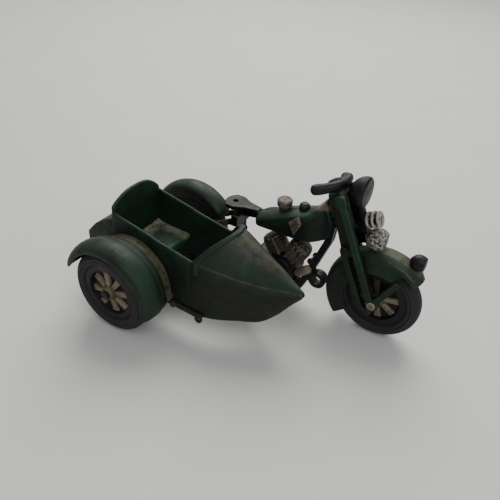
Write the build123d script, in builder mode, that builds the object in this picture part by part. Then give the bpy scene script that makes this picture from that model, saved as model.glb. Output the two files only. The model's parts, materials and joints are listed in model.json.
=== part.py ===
from build123d import *
import math
import os

# Cast-iron toy motorcycle with a sidecar on its right. Millimetres, +X forward, +Y left, +Z up.
# The origin is on the ground, under the middle of the whole toy.

os.makedirs("parts", exist_ok=True)

# ---------------------------------------------------------------- layout
front_axle_x = 76.6             # centres the toy along X
bike_y = 42.0                   # centres the toy along Y
wheelbase = 144.6
sidecar_track = 92.8            # motorcycle's centre plane to the sidecar wheel's
sidecar_wheel_lead = 5.4        # sidecar wheel ahead of the rear wheel
tub_offset = 50.0               # motorcycle's centre plane to the tub's

# ---------------------------------------------------------------- wheels
wheel_radius = 28.0
tyre_half_width = 5.7
tyre_seat_radius = 19.6
tyre_step_radius = 24.4
tyre_step_depth = 0.9
tread_crown = 3.0
tread_rounding = 0.6
bead_rise = 1.6
rim_inner_radius = 14.8
rim_half_width = 4.4
web_half_thickness = 1.0
spoke_count = 8
spoke_width = 4.2
spoke_half_thickness = 2.6
spoke_first_angle = 11
hub_radius = 4.8
hub_half_length = 6.3
axle_radius = 1.6
axle_head_radius = 2.7
axle_head_length = 1.2
running_clearance = 0.06
seat_clearance = 0.03
side_gap = 0.3

# ---------------------------------------------------------------- fenders
shell = 1.7
crown_rise = 5.5
front_fender_crest = 35.3
front_tyre_gap = 1.0             # between a tyre and the inside of its fender
front_fender_half_width = tyre_half_width + front_tyre_gap + shell
front_skirt_radius = 20.4
front_short_skirt_radius = 31.0
front_fender_start = 43.0
front_skirt_start = 62.0
front_fender_end = 219.0
rear_fender_crest = 34.8
rear_tyre_gap = 0.6
rear_fender_half_width = tyre_half_width + rear_tyre_gap + shell
rear_skirt_radius = 24.5
rear_fender_start = 34.0
rear_fender_end = 196.0
sidecar_fender_crest = 35.4
sidecar_lip_radius = 28.9
sidecar_fender_overhang = 8.7   # wheel's centre plane to the outer lip
sidecar_fender_start = -10.0
sidecar_fender_end = 163.0

# ---------------------------------------------------------------- fork and steering
rake = 24.5
head_offset = 8.8               # steering axis behind the fork legs
leg_thickness = 3.6
web_thickness = 2.2
leg_width = 4.6
rear_leg_width = 3.7
fork_height = 70.0
web_bottom = 34.0
axle_boss_radius = 4.2
axle_spacer_radius = 3.6
leg_cap_radius = 4.3
crown_radius = 5.2
crown_thickness = 4.0
neck_radius = 5.5
neck_bottom = 49.4
neck_top = 70.6
steering_pin_radius = 1.7

# ---------------------------------------------------------------- motorcycle body
frame_half_thickness = 3.4
tube_width = 4.6
stay_width = 4.0
stay_thickness = 2.6
lower_tube_height = 13.5
lug_radius = 6.0
lug_hole_radius = 3.3
dropout_radius = 4.4
yoke_width = 5.0
upper_yoke_height = 50.0
tank_half_width = 9.5
tank_wall = 1.8
tank_side_wall = 3.0
tank_edge = 2.4
tank_nose_half_width = 4.8
notch_clearance = 0.25
crank_height = 25.4
crankcase_radius = 10.5
crankcase_half_width = 8.3
gearbox_offset = 17.0            # behind the crankshaft
primary_cover_width = 12.0
cylinder_tilt = 31.0
cylinder_radius = 8.3
cylinder_core_radius = 6.2
cylinder_base = 11.5
fin_pitch = 2.3
fin_thickness = 1.2
fin_count = 4
head_radius = 7.6
head_height = 3.0
head_taper = 24
saddle_height = 56.9
saddle_thickness = 2.8
saddle_half_width = 8.4
peg_hole_radius = 1.65
rivet_radius = 1.5
rivet_head_radius = 2.6
rivet_head_height = 1.3
cap_radius = 5.1
cap_height = 4.6
cap_stem_radius = 3.5
cap_stem_height = 3.6
cap_seat = 66.0
small_cap_radius = 3.5
small_cap_height = 5.0
small_cap_seat = 71.0
plate_thickness = 1.8

# ---------------------------------------------------------------- lamps, horn and bars
grip_radius = 3.2
bar_half_span = 15.5
bar_elbow = 5.6
headlamp_radius = 9.9
headlamp_depth = 11.0
horn_flange_radius = 5.4
fender_lamp_radius = 7.0
fender_lamp_foot_radius = 2.6
tip_lamp_radius = 4.9
tip_angle = 61.0                 # tip lamp's place round the fender
pole_radius = 1.5                # flat at the back of each rounded lamp
stem_half_thickness = 1.9
stem_width = 3.2

# ---------------------------------------------------------------- sidecar
tub_half_width = 22.0
tub_wall = 2.2
belly_height = 16.5
rim_rear_height = 67.5
rim_front_height = 56.0
seat_back_height = 79.2
seat_back_thickness = 2.6
seat_top = 41.5
seat_thickness = 4.0
seat_length = 27.0
seat_peg_radius = 2.0
trunk_half_width = 20.0
trunk_depth = 25.0
arm_radius = 2.6
arm_height = 20.2               # cross arms above the ground
arm_spigot_radius = 1.6
arm_flange_radius = 3.6
arm_flange_thickness = 1.4
rail_height = 3.4
rail_thickness = 1.8
rail_eye_radius = 1.2
rail_rivet_head_radius = 2.0
rail_eye_boss_radius = 2.6
bracket_flange_radius = 6.4
bracket_flange_thickness = 1.6
bracket_radius = 4.2
clear_of_tub = 90.0              # above everything in the sidecar

# ---------------------------------------------------------------- places worked out from the above
rear_axle_x = front_axle_x - wheelbase
sidecar_axle_x = rear_axle_x + sidecar_wheel_lead
wheel_y = bike_y - sidecar_track
tub_y = bike_y - tub_offset
near_wall_y = tub_y - tub_half_width
far_wall_y = tub_y + tub_half_width
front_axle = (front_axle_x, bike_y, wheel_radius)
rear_axle = (rear_axle_x, bike_y, wheel_radius)
sidecar_axle = (sidecar_axle_x, wheel_y, wheel_radius)
rake_sin = math.sin(math.radians(rake))
rake_cos = math.cos(math.radians(rake))
bike_side = Plane.XZ.offset(-bike_y)
tub_side = Plane.XZ.offset(-tub_y)
mirror_plane = Plane.XZ.offset(-bike_y)
engine_x = front_axle_x - 67.5
seat_post_x = rear_axle_x + 40.0


def finish(builder, name):
    """Label a finished piece and write its STEP file."""
    builder.part.label = name
    export_step(builder.part, f"parts/{name}.step")


def bar(start, end, width):
    """Round-ended bar between two points of the sketch in progress."""
    run = Vector(*end) - Vector(*start)
    middle = Vector(*start) + run * 0.5
    with Locations((middle.X, middle.Y)):
        SlotCenterToCenter(run.length, width, rotation=math.degrees(math.atan2(run.Y, run.X)))


def fork_plane(side_offset):
    """Side plane with its origin on the front axle, x forward and y up along the raked legs."""
    origin = (front_axle_x, bike_y + side_offset, wheel_radius)
    return Plane(origin=origin, x_dir=(rake_cos, 0, rake_sin), z_dir=(0, -1, 0))


def fork_point(forward, up, left=0.0):
    """Point given along the raked legs, as a place in the whole model."""
    x = front_axle_x + forward * rake_cos - up * rake_sin
    z = wheel_radius + forward * rake_sin + up * rake_cos
    return (x, bike_y + left, z)


def crown_plane(up):
    """Plane square to the steering axis, centred on it."""
    return Plane(origin=fork_point(-head_offset, up), x_dir=(rake_cos, 0, rake_sin),
                 z_dir=(-rake_sin, 0, rake_cos))


def radial_plane(centre, angle):
    """Plane through a wheel's axis: x out along a spoke, y along the axle."""
    c, s = math.cos(math.radians(angle)), math.sin(math.radians(angle))
    return Plane(origin=centre, x_dir=(c, 0, s), z_dir=(-s, 0, c))


# ================================================================ wheels
def build_wheel(name, centre):
    """Spoked wheel: rim, thin web, raised spokes and a bored hub."""
    middle = Plane(origin=centre, x_dir=(1, 0, 0), z_dir=(0, -1, 0))
    with BuildPart() as wheel:
        with BuildSketch(middle):
            Circle(tyre_seat_radius)
            Circle(rim_inner_radius, mode=Mode.SUBTRACT)
        extrude(amount=rim_half_width, both=True)
        with BuildSketch(middle):
            Circle(rim_inner_radius)
        extrude(amount=web_half_thickness, both=True)
        with BuildSketch(middle):
            with PolarLocations(rim_inner_radius / 2, spoke_count, start_angle=spoke_first_angle):
                Rectangle(rim_inner_radius, spoke_width)
        extrude(amount=spoke_half_thickness, both=True)
        with BuildSketch(middle):
            Circle(hub_radius)
        extrude(amount=hub_half_length, both=True)
        with BuildSketch(middle):
            Circle(axle_radius + running_clearance)
        extrude(amount=hub_half_length, both=True, mode=Mode.SUBTRACT)
    finish(wheel, name)


def build_tyre(name, centre):
    """Stepped rubber tyre pressed on the rim."""
    inner = tyre_seat_radius + seat_clearance
    bead = tyre_seat_radius + bead_rise
    step = tyre_half_width - tyre_step_depth
    shoulder = wheel_radius - tread_crown
    edge = step - tread_rounding
    with BuildPart() as tyre:
        with BuildSketch(Plane(origin=centre)):
            with BuildLine():
                Polyline((shoulder, -edge), (tyre_step_radius, -step), (tyre_step_radius, -tyre_half_width),
                         (bead, -tyre_half_width), (inner, -rim_half_width), (inner, rim_half_width),
                         (bead, tyre_half_width), (tyre_step_radius, tyre_half_width),
                         (tyre_step_radius, step), (shoulder, edge))
                ThreePointArc((shoulder, edge), (wheel_radius, 0), (shoulder, -edge))
            make_face()
        revolve(axis=Axis(centre, (0, 1, 0)))
    finish(tyre, name)


def build_axle(name, centre, right_reach, left_reach):
    """Peened axle: a pin with a low round head at each end."""
    middle = Plane(origin=centre, x_dir=(1, 0, 0), z_dir=(0, -1, 0))
    with BuildPart() as axle:
        with BuildSketch(middle.offset(-left_reach)):
            Circle(axle_radius)
        extrude(amount=left_reach + right_reach)
        with BuildSketch(middle.offset(right_reach)):
            Circle(axle_head_radius)
        extrude(amount=axle_head_length)
        with BuildSketch(middle.offset(-left_reach)):
            Circle(axle_head_radius)
        extrude(amount=-axle_head_length)
    finish(axle, name)


for wheel_name, wheel_centre in (("front", front_axle), ("rear", rear_axle), ("sidecar", sidecar_axle)):
    build_wheel(f"{wheel_name}_wheel", wheel_centre)
    build_tyre(f"{wheel_name}_tyre", wheel_centre)

fork_reach = front_fender_half_width + leg_thickness
stay_reach = rear_fender_half_width + stay_thickness
build_axle("front_axle", front_axle, fork_reach, fork_reach)
build_axle("rear_axle", rear_axle, stay_reach, stay_reach)
wheel_to_tub = near_wall_y - wheel_y
build_axle("sidecar_axle", sidecar_axle, hub_half_length + side_gap, wheel_to_tub + tub_wall)


# ================================================================ fenders of the motorcycle
def build_fender(name, centre, crest, half_width, skirt, start, end, short_skirt=None, short_end=None):
    """Half-round fender with deep flat skirts; the skirts may be shorter over the first stretch."""
    shoulder = crest - crown_rise
    inner = half_width - shell
    axis = Axis(centre, (0, -1, 0))
    with BuildPart() as fender:
        with BuildSketch(radial_plane(centre, start)):
            with BuildLine():
                Line((skirt, -half_width), (shoulder, -half_width))
                ThreePointArc((shoulder, -half_width), (crest, 0), (shoulder, half_width))
                Polyline((shoulder, half_width), (skirt, half_width), (skirt, inner), (shoulder, inner))
                ThreePointArc((shoulder, inner), (crest - shell, 0), (shoulder, -inner))
                Polyline((shoulder, -inner), (skirt, -inner), (skirt, -half_width))
            make_face()
        revolve(axis=axis, revolution_arc=end - start)
        if short_skirt:
            with BuildSketch(radial_plane(centre, start)):
                with Locations(((skirt + short_skirt) / 2, 0)):
                    Rectangle(short_skirt - skirt + seat_clearance, 3 * half_width)
            revolve(axis=axis, revolution_arc=short_end - start, mode=Mode.SUBTRACT)
    finish(fender, name)


build_fender("front_fender", front_axle, front_fender_crest, front_fender_half_width, front_skirt_radius,
             front_fender_start, front_fender_end, front_short_skirt_radius, front_skirt_start)
build_fender("rear_fender", rear_axle, rear_fender_crest, rear_fender_half_width, rear_skirt_radius,
             rear_fender_start, rear_fender_end)


# ================================================================ fork halves, in the raked plane
leg_top = (-1.6, fork_height)
leg_foot = (-1.2, 0)
leg_cap_place = (-2.6, fork_height)
rear_leg_top = (-9.6, web_bottom + 4)
web_outline = ((-8.4, fork_height + 1), (-0.6, fork_height + 1), (-0.2, web_bottom), (-11.2, web_bottom))
strut_foot = (19.4, 14.0)
rocker_rear = (-8.6, -1.5)
rocker_low = (-4.2, -5.6)
fork_rivet_place = (-7.7, 39.6)
crown_levels = (neck_bottom - side_gap - crown_thickness, neck_top + side_gap)
tongue_centre = 1.6                 # crown's tongue out to the leg
tongue_length = 7.2

with BuildPart() as fork_right:
    with BuildSketch(fork_plane(-front_fender_half_width)):
        bar(leg_top, leg_foot, leg_width)
        bar(rear_leg_top, rocker_rear, rear_leg_width)
        bar(rocker_rear, rocker_low, rear_leg_width)
        bar(rocker_low, (0, 0), rear_leg_width)
        bar((0, 0), strut_foot, stay_width)
        Circle(axle_boss_radius)
        with Locations(leg_cap_place):
            Circle(leg_cap_radius)
    extrude(amount=leg_thickness)
    with BuildSketch(fork_plane(-front_fender_half_width)):
        with BuildLine():
            Polyline(*web_outline, close=True)
        make_face()
    extrude(amount=web_thickness)
    with BuildSketch(fork_plane(-front_fender_half_width)):
        Circle(axle_spacer_radius)
    extrude(amount=-(front_fender_half_width - hub_half_length - side_gap))
    for level in crown_levels:
        with BuildSketch(crown_plane(level)):
            Circle(crown_radius)
            with Locations((tongue_centre, -front_fender_half_width / 2)):
                Rectangle(tongue_length, front_fender_half_width)
            with Locations((0, crown_radius)):
                Rectangle(4 * crown_radius, 2 * crown_radius, mode=Mode.SUBTRACT)
            Circle(steering_pin_radius + seat_clearance, mode=Mode.SUBTRACT)
        extrude(amount=crown_thickness)
    with BuildSketch(fork_plane(-front_fender_half_width)):
        Circle(axle_radius + seat_clearance)
        with Locations(fork_rivet_place):
            Circle(rivet_radius + seat_clearance)
    extrude(amount=2 * leg_thickness, both=True, mode=Mode.SUBTRACT)
finish(fork_right, "fork_right_half")

with BuildPart() as fork_left:
    mirror(fork_right.part, about=mirror_plane)
finish(fork_left, "fork_left_half")

with BuildPart() as steering_pin:
    with BuildSketch(crown_plane(crown_levels[0])):
        Circle(steering_pin_radius)
    extrude(amount=crown_levels[1] + crown_thickness - crown_levels[0])
    for level, direction in ((crown_levels[0], -1), (crown_levels[1] + crown_thickness, 1)):
        with BuildSketch(crown_plane(level)):
            Circle(axle_head_radius)
        extrude(amount=direction * axle_head_length)
finish(steering_pin, "steering_pin")

with BuildPart() as fork_rivet:
    with BuildSketch(fork_plane(0)):
        with Locations(fork_rivet_place):
            Circle(rivet_radius)
    extrude(amount=fork_reach, both=True)
    for side in (-1, 1):
        with BuildSketch(fork_plane(side * fork_reach)):
            with Locations(fork_rivet_place):
                Circle(rivet_head_radius)
        extrude(amount=-side * rivet_head_height)
finish(fork_rivet, "fork_rivet")

# ================================================================ handlebar, lamps and horn
crown_top = crown_levels[1] + crown_thickness
bar_height = 5.4                    # bar's axis above the upper crown, along the rake
elbow_drop = 1.8
clamp_foot = (-2.6, crown_top)
clamp_head = (-1.0, crown_top + 4.4)
clamp_width = 5.0
clamp_half_thickness = 4.6
bar_bend_radius = 3.6
bar_middle = fork_point(-1.0, crown_top + bar_height)
elbow_x, elbow_z = bar_middle[0] - 1.0, bar_middle[2] - elbow_drop
elbow_shift = 0.6                   # right elbow behind the left one
right_tip = (front_axle_x - 49.5, bike_y - bar_half_span, 95.4)
left_tip = (front_axle_x - 40.5, bike_y + bar_half_span, 94.0)

with BuildPart() as handlebar:
    with BuildLine() as bar_path:
        FilletPolyline(right_tip, (elbow_x - elbow_shift, bike_y - bar_elbow, elbow_z),
                       (elbow_x + elbow_shift, bike_y + bar_elbow, elbow_z), left_tip,
                       radius=bar_bend_radius)
    with BuildSketch(Plane(origin=bar_path.wire() @ 0, z_dir=bar_path.wire() % 0)):
        Circle(grip_radius)
    sweep(path=bar_path.wire())
    with BuildSketch(fork_plane(0)):
        bar(clamp_foot, clamp_head, clamp_width)
        with Locations((clamp_foot[0], crown_top - clamp_width)):
            Rectangle(4 * clamp_width, 2 * clamp_width, mode=Mode.SUBTRACT)
    extrude(amount=clamp_half_thickness, both=True)
finish(handlebar, "handlebar")

headlamp_x = front_axle_x - 19.2     # front of the lamp's rim
headlamp_z = wheel_radius + 68.0
fender_lamp_x = front_axle_x - 7.4
fender_lamp_z = wheel_radius + 40.6
lens_rise = 0.8
rim_bevel = 1.2
rim_width = 3.0
fender_lamp_front = 5.0
fender_lamp_back = -8.0
stem_foot = (-head_offset + crown_radius + 1.8, 47.0)
stem_knee = (3.4, 47.6)
stem_bottom = (4.2, 44.0)
stem_top = (4.4, 62.5)

with BuildPart() as headlamp:
    with BuildSketch(Plane(origin=(headlamp_x, bike_y, headlamp_z), x_dir=(1, 0, 0), z_dir=(0, -1, 0))):
        with BuildLine():
            Polyline((-headlamp_depth, pole_radius), (-headlamp_depth, 0), (lens_rise, 0),
                     (0, headlamp_radius - rim_bevel), (-1.0, headlamp_radius),
                     (-rim_width, headlamp_radius))
            Spline((-rim_width, headlamp_radius), (-headlamp_depth * 0.72, headlamp_radius * 0.74),
                   (-headlamp_depth, pole_radius))
        make_face()
    revolve(axis=Axis((headlamp_x, bike_y, headlamp_z), (1, 0, 0)))
finish(headlamp, "headlamp")

with BuildPart() as lamp_stem:
    with BuildSketch(fork_plane(0)):
        bar(stem_foot, stem_knee, stem_width)
        bar(stem_bottom, stem_top, stem_width)
    extrude(amount=stem_half_thickness, both=True)
    with BuildSketch(Plane(origin=(fender_lamp_x, bike_y, fender_lamp_z), z_dir=(1, 0, 0))):
        Circle(fender_lamp_radius + seat_clearance)
    extrude(amount=-fender_lamp_back, both=True, mode=Mode.SUBTRACT)
    with BuildSketch(Plane(origin=(headlamp_x, bike_y, headlamp_z), z_dir=(1, 0, 0))):
        Circle(headlamp_radius + seat_clearance)
    extrude(amount=-headlamp_depth, mode=Mode.SUBTRACT)
finish(lamp_stem, "lamp_stem")

horn_start = 6.0
horn_axis = 53.2
horn_waist = horn_flange_radius - 2.2
horn_outline = ((0.0, 0.0), (0.0, 3.4), (1.0, horn_flange_radius), (2.2, horn_flange_radius),
                (2.8, horn_waist), (3.8, horn_waist), (4.4, horn_flange_radius), (5.6, horn_flange_radius),
                (6.2, horn_waist), (7.2, horn_waist), (7.8, horn_flange_radius - 0.3),
                (8.8, horn_flange_radius - 0.3), (9.2, 0.0))
with BuildPart() as horn:
    with BuildSketch(fork_plane(0)):
        with BuildLine():
            Polyline(*[(horn_start + ahead, horn_axis + out) for ahead, out in horn_outline], close=True)
        make_face()
    revolve(axis=Axis(fork_point(horn_start, horn_axis), (rake_cos, 0, rake_sin)))
finish(horn, "horn")

fender_lamp_seat = front_fender_crest + wheel_radius
with BuildPart() as fender_lamp:
    with BuildSketch(Plane(origin=(fender_lamp_x, bike_y, fender_lamp_z), x_dir=(1, 0, 0), z_dir=(0, -1, 0))):
        with BuildLine():
            Polyline((fender_lamp_back, pole_radius), (fender_lamp_back, 0), (fender_lamp_front, 0),
                     (fender_lamp_front - 0.3, fender_lamp_radius - 1.4))
            Spline((fender_lamp_front - 0.3, fender_lamp_radius - 1.4), (2.0, fender_lamp_radius - 0.2),
                   (-1.6, fender_lamp_radius), (-5.4, fender_lamp_radius - 2.0),
                   (fender_lamp_back, pole_radius))
        make_face()
    revolve(axis=Axis((fender_lamp_x, bike_y, fender_lamp_z), (1, 0, 0)))
    with BuildSketch(Plane.XY.offset(fender_lamp_seat - 2)):
        with Locations((fender_lamp_x, bike_y)):
            Circle(fender_lamp_foot_radius)
    extrude(amount=fender_lamp_z - fender_lamp_seat)
    with BuildSketch(Plane(origin=front_axle, x_dir=(1, 0, 0), z_dir=(0, -1, 0))):
        Circle(front_fender_crest + seat_clearance)
    extrude(amount=front_fender_half_width, both=True, mode=Mode.SUBTRACT)
finish(fender_lamp, "fender_lamp")

tip_lamp_front = 4.2
tip_lamp_back = -5.4
tip_lamp_lift = front_fender_crest + tip_lamp_radius * 0.9
tip_lamp_centre = (front_axle_x + tip_lamp_lift * math.cos(math.radians(tip_angle)), bike_y,
                   wheel_radius + tip_lamp_lift * math.sin(math.radians(tip_angle)))
with BuildPart() as tip_lamp:
    with BuildSketch(Plane(origin=tip_lamp_centre, x_dir=(1, 0, 0), z_dir=(0, -1, 0))):
        with BuildLine():
            Polyline((tip_lamp_back, pole_radius), (tip_lamp_back, 0), (tip_lamp_front, 0),
                     (tip_lamp_front - 0.2, tip_lamp_radius - 0.8))
            Spline((tip_lamp_front - 0.2, tip_lamp_radius - 0.8), (1.4, tip_lamp_radius),
                   (-1.4, tip_lamp_radius), (-4.0, tip_lamp_radius - 1.6), (tip_lamp_back, pole_radius))
        make_face()
    revolve(axis=Axis(tip_lamp_centre, (1, 0, 0)))
    with BuildSketch(Plane(origin=front_axle, x_dir=(1, 0, 0), z_dir=(0, -1, 0))):
        Circle(front_fender_crest + seat_clearance)
    extrude(amount=front_fender_half_width, both=True, mode=Mode.SUBTRACT)
finish(tip_lamp, "fender_tip_lamp")

# ================================================================ frame halves
neck_root = (front_axle_x - 37.0, 69.0)
downtube_low = (front_axle_x - 49.0, 26.0)
cradle_front = (front_axle_x - 54.0, lower_tube_height)
cradle_rear = (seat_post_x, lower_tube_height + 3.0)
seat_post_top = (seat_post_x, 54.0)
neck_side = fork_point(-head_offset - 3.4, neck_bottom + 3.6)
neck_joint = (neck_side[0], neck_side[2])
downtube_top = (front_axle_x - 38.2, 56.0)
backbone_bend = (front_axle_x - 52.0, 63.0)
frame_tubes = ((neck_joint, neck_root), (neck_root, downtube_top), (downtube_top, downtube_low),
               (downtube_low, cradle_front), (cradle_front, cradle_rear), (cradle_rear, seat_post_top),
               (neck_root, backbone_bend), (backbone_bend, seat_post_top))
lug_eye = (front_axle_x - 42.2, 22.8)
frame_rivet_places = ((front_axle_x - 47.4, 37.0), (cradle_front[0] - 21.6, lower_tube_height + 1.2),
                      (seat_post_x, 38.0))
stay_start = rear_fender_half_width

with BuildPart() as frame_right:
    with BuildSketch(bike_side):
        for tube_start, tube_end in frame_tubes:
            bar(tube_start, tube_end, tube_width)
        with Locations(lug_eye):
            Circle(lug_radius)
        with Locations(lug_eye):
            Circle(lug_hole_radius, mode=Mode.SUBTRACT)
    extrude(amount=frame_half_thickness)
    with BuildSketch(crown_plane(neck_bottom)):
        Circle(neck_radius)
        with Locations((0, neck_radius)):
            Rectangle(4 * neck_radius, 2 * neck_radius, mode=Mode.SUBTRACT)
    extrude(amount=neck_top - neck_bottom)
    with BuildSketch(bike_side):
        for yoke_z in (arm_height, upper_yoke_height):
            with Locations((seat_post_x, yoke_z)):
                Rectangle(yoke_width, 1.6 * yoke_width)
    extrude(amount=stay_start + stay_thickness)
    with BuildSketch(bike_side.offset(stay_start)):
        bar(cradle_rear, (rear_axle_x, wheel_radius), stay_width)
        bar((seat_post_x, upper_yoke_height), (rear_axle_x, wheel_radius), stay_width)
        with Locations((rear_axle_x, wheel_radius)):
            Circle(dropout_radius)
    extrude(amount=stay_thickness)
    with BuildSketch(bike_side.offset(stay_start)):
        with Locations((rear_axle_x, wheel_radius)):
            Circle(axle_spacer_radius)
    extrude(amount=-(stay_start - hub_half_length - side_gap))
    with BuildSketch(crown_plane(neck_bottom)):
        Circle(steering_pin_radius + running_clearance)
    extrude(amount=neck_top - neck_bottom, mode=Mode.SUBTRACT)
    with BuildSketch(bike_side):
        with Locations((rear_axle_x, wheel_radius)):
            Circle(axle_radius + seat_clearance)
        with Locations(*frame_rivet_places):
            Circle(rivet_radius + seat_clearance)
    extrude(amount=stay_start + stay_thickness, mode=Mode.SUBTRACT)
finish(frame_right, "frame_right_half")

with BuildPart() as frame_left:
    mirror(frame_right.part, about=mirror_plane)
finish(frame_left, "frame_left_half")

with BuildPart() as frame_rivets:
    with BuildSketch(bike_side):
        with Locations(*frame_rivet_places):
            Circle(rivet_radius)
    extrude(amount=frame_half_thickness, both=True)
    for side in (-1, 1):
        with BuildSketch(bike_side.offset(-side * frame_half_thickness)):
            with Locations(*frame_rivet_places):
                Circle(rivet_head_radius)
        extrude(amount=-side * rivet_head_height)
finish(frame_rivets, "frame_rivets")

# ================================================================ tank halves
tank_rear = front_axle_x - 90.5
tank_points = ((tank_rear, 50.5), (tank_rear - 0.6, 57.0), (tank_rear + 4.5, 61.5),
               (front_axle_x - 72.0, 67.2), (front_axle_x - 58.0, 71.8), (front_axle_x - 51.5, 74.6),
               (front_axle_x - 47.0, 80.4), (front_axle_x - 42.6, 85.5), (front_axle_x - 35.9, 69.1),
               (front_axle_x - 37.5, 57.5), (front_axle_x - 46.0, 51.8), (front_axle_x - 60.0, 49.6))
tank_relief_width = 12.0            # flat that clears the fork at full lock
tank_relief_height = 60.0
with BuildPart() as tank_right:
    with BuildSketch(bike_side):
        with BuildLine():
            Polyline(*tank_points, close=True)
        make_face()
    extrude(amount=tank_half_width)
    chamfer(tank_right.faces().sort_by(Axis.Y)[0].edges(), length=tank_edge)
    with BuildSketch(bike_side):
        with BuildLine():
            Polyline(*tank_points, close=True)
        make_face()
        offset(amount=-tank_wall, mode=Mode.REPLACE)
    extrude(amount=tank_half_width - tank_side_wall, mode=Mode.SUBTRACT)
    with BuildSketch(fork_plane(-tank_nose_half_width)):
        with Locations((-head_offset - 4.0, 58.0)):
            Rectangle(tank_relief_width, tank_relief_height)
    extrude(amount=tank_half_width, mode=Mode.SUBTRACT)
    with BuildSketch(bike_side):
        for tube_start, tube_end in frame_tubes:
            bar(tube_start, tube_end, tube_width + 2 * notch_clearance)
    extrude(amount=frame_half_thickness + notch_clearance, mode=Mode.SUBTRACT)
finish(tank_right, "tank_right_half")

with BuildPart() as tank_left:
    mirror(tank_right.part, about=mirror_plane)
finish(tank_left, "tank_left_half")

# ================================================================ engine
crank = (engine_x, crank_height)
gearbox_x = engine_x - gearbox_offset
gearbox_length = 12.0
gearbox_height = 14.0
gearbox_corner = 3.0
engine_foot = 5.0
timing_cover_radius = 7.6
timing_cover_thickness = 1.4
primary_cover_thickness = 1.6
with BuildPart() as crankcase:
    with BuildSketch(bike_side):
        with Locations(crank):
            Circle(crankcase_radius)
        with Locations((gearbox_x, crank_height - 2.0)):
            RectangleRounded(gearbox_length, gearbox_height, gearbox_corner)
        bar(crank, (gearbox_x, crank_height - 1.0), primary_cover_width)
        with Locations((engine_x + 1.0, lower_tube_height + 4.0), (gearbox_x, lower_tube_height + 4.5)):
            Rectangle(engine_foot, engine_foot)
    extrude(amount=crankcase_half_width, both=True)
    with BuildSketch(bike_side):
        for tube_start, tube_end in frame_tubes:
            bar(tube_start, tube_end, tube_width + 2 * seat_clearance)
    extrude(amount=crankcase_half_width, both=True, mode=Mode.SUBTRACT)
    with BuildSketch(bike_side.offset(crankcase_half_width)):
        with Locations(crank):
            Circle(timing_cover_radius)
    extrude(amount=timing_cover_thickness)
    with BuildSketch(bike_side.offset(-crankcase_half_width)):
        bar(crank, (gearbox_x, crank_height - 1.0), primary_cover_width - 1.0)
    extrude(amount=-primary_cover_thickness)
finish(crankcase, "crankcase")


def build_cylinder(name, tilt):
    """Finned cylinder with a round head, leaning from the crankshaft."""
    lean = math.radians(tilt)
    up = (math.sin(lean), 0, math.cos(lean))
    foot = Vector(engine_x, bike_y, crank_height) + Vector(*up) * cylinder_base
    base = Plane(origin=foot, x_dir=(0, 1, 0), z_dir=up)
    finned = fin_count * fin_pitch
    with BuildPart() as cylinder:
        with BuildSketch(base):
            Circle(cylinder_core_radius)
        extrude(amount=finned)
        for fin in range(fin_count):
            with BuildSketch(base.offset(fin * fin_pitch + fin_pitch - fin_thickness)):
                Circle(cylinder_radius)
            extrude(amount=fin_thickness)
        with BuildSketch(base.offset(finned)):
            Circle(head_radius)
        extrude(amount=head_height, taper=head_taper)
        with BuildSketch(Plane(origin=(engine_x, bike_y, crank_height), x_dir=(1, 0, 0), z_dir=(0, -1, 0))):
            Circle(crankcase_radius + seat_clearance)
        extrude(amount=cylinder_radius, both=True, mode=Mode.SUBTRACT)
        with BuildSketch(Plane.YZ.offset(engine_x)):
            with Locations((bike_y, crank_height + cylinder_base + finned / 2)):
                Rectangle(3 * cylinder_radius, 3 * cylinder_radius)
        keep_side = math.copysign(1.0, tilt)
        extrude(amount=-keep_side * 3 * cylinder_radius, mode=Mode.SUBTRACT)
        with BuildSketch(Plane.YZ.offset(engine_x)):
            with Locations((bike_y, crank_height + cylinder_base)):
                Rectangle(3 * cylinder_radius, 4 * cylinder_radius)
        extrude(amount=keep_side * side_gap / 2, mode=Mode.SUBTRACT)
    finish(cylinder, name)


build_cylinder("front_cylinder", cylinder_tilt)
build_cylinder("rear_cylinder", -cylinder_tilt)

# ================================================================ saddle and caps
saddle_nose_x = seat_post_x + 14.0
saddle_waist_x = seat_post_x + 4.0
saddle_wide_x = seat_post_x - 3.0
saddle_rear_x = seat_post_x - 12.6
saddle_corner_x = saddle_rear_x + 4.0
saddle_nose_half = 2.6
saddle_waist_half = 4.6
saddle_corner_half = saddle_half_width - 0.4
saddle_foot = 5.0
peg_hole_x = seat_post_x - 5.6
with BuildPart() as saddle:
    with BuildSketch(Plane.XY.offset(saddle_height)):
        with BuildLine():
            Polyline((saddle_nose_x, bike_y - saddle_nose_half), (saddle_waist_x, bike_y - saddle_waist_half),
                     (saddle_wide_x, bike_y - saddle_half_width),
                     (saddle_corner_x, bike_y - saddle_corner_half))
            ThreePointArc((saddle_corner_x, bike_y - saddle_corner_half), (saddle_rear_x, bike_y),
                          (saddle_corner_x, bike_y + saddle_corner_half))
            Polyline((saddle_corner_x, bike_y + saddle_corner_half),
                     (saddle_wide_x, bike_y + saddle_half_width),
                     (saddle_waist_x, bike_y + saddle_waist_half), (saddle_nose_x, bike_y + saddle_nose_half),
                     (saddle_nose_x, bike_y - saddle_nose_half))
        make_face()
    extrude(amount=saddle_thickness)
    with BuildSketch(Plane.XY.offset(seat_post_top[1] + tube_width / 2)):
        with Locations((seat_post_x, bike_y)):
            Rectangle(saddle_foot, 2 * frame_half_thickness)
    extrude(amount=saddle_height - seat_post_top[1] - tube_width / 2)
    with BuildSketch(bike_side):
        for tube_start, tube_end in frame_tubes:
            bar(tube_start, tube_end, tube_width + 2 * seat_clearance)
    extrude(amount=frame_half_thickness, both=True, mode=Mode.SUBTRACT)
    with BuildSketch(Plane.XY.offset(saddle_height)):
        with Locations((peg_hole_x, bike_y)):
            Circle(peg_hole_radius)
    extrude(amount=saddle_thickness, mode=Mode.SUBTRACT)
finish(saddle, "saddle")

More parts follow.
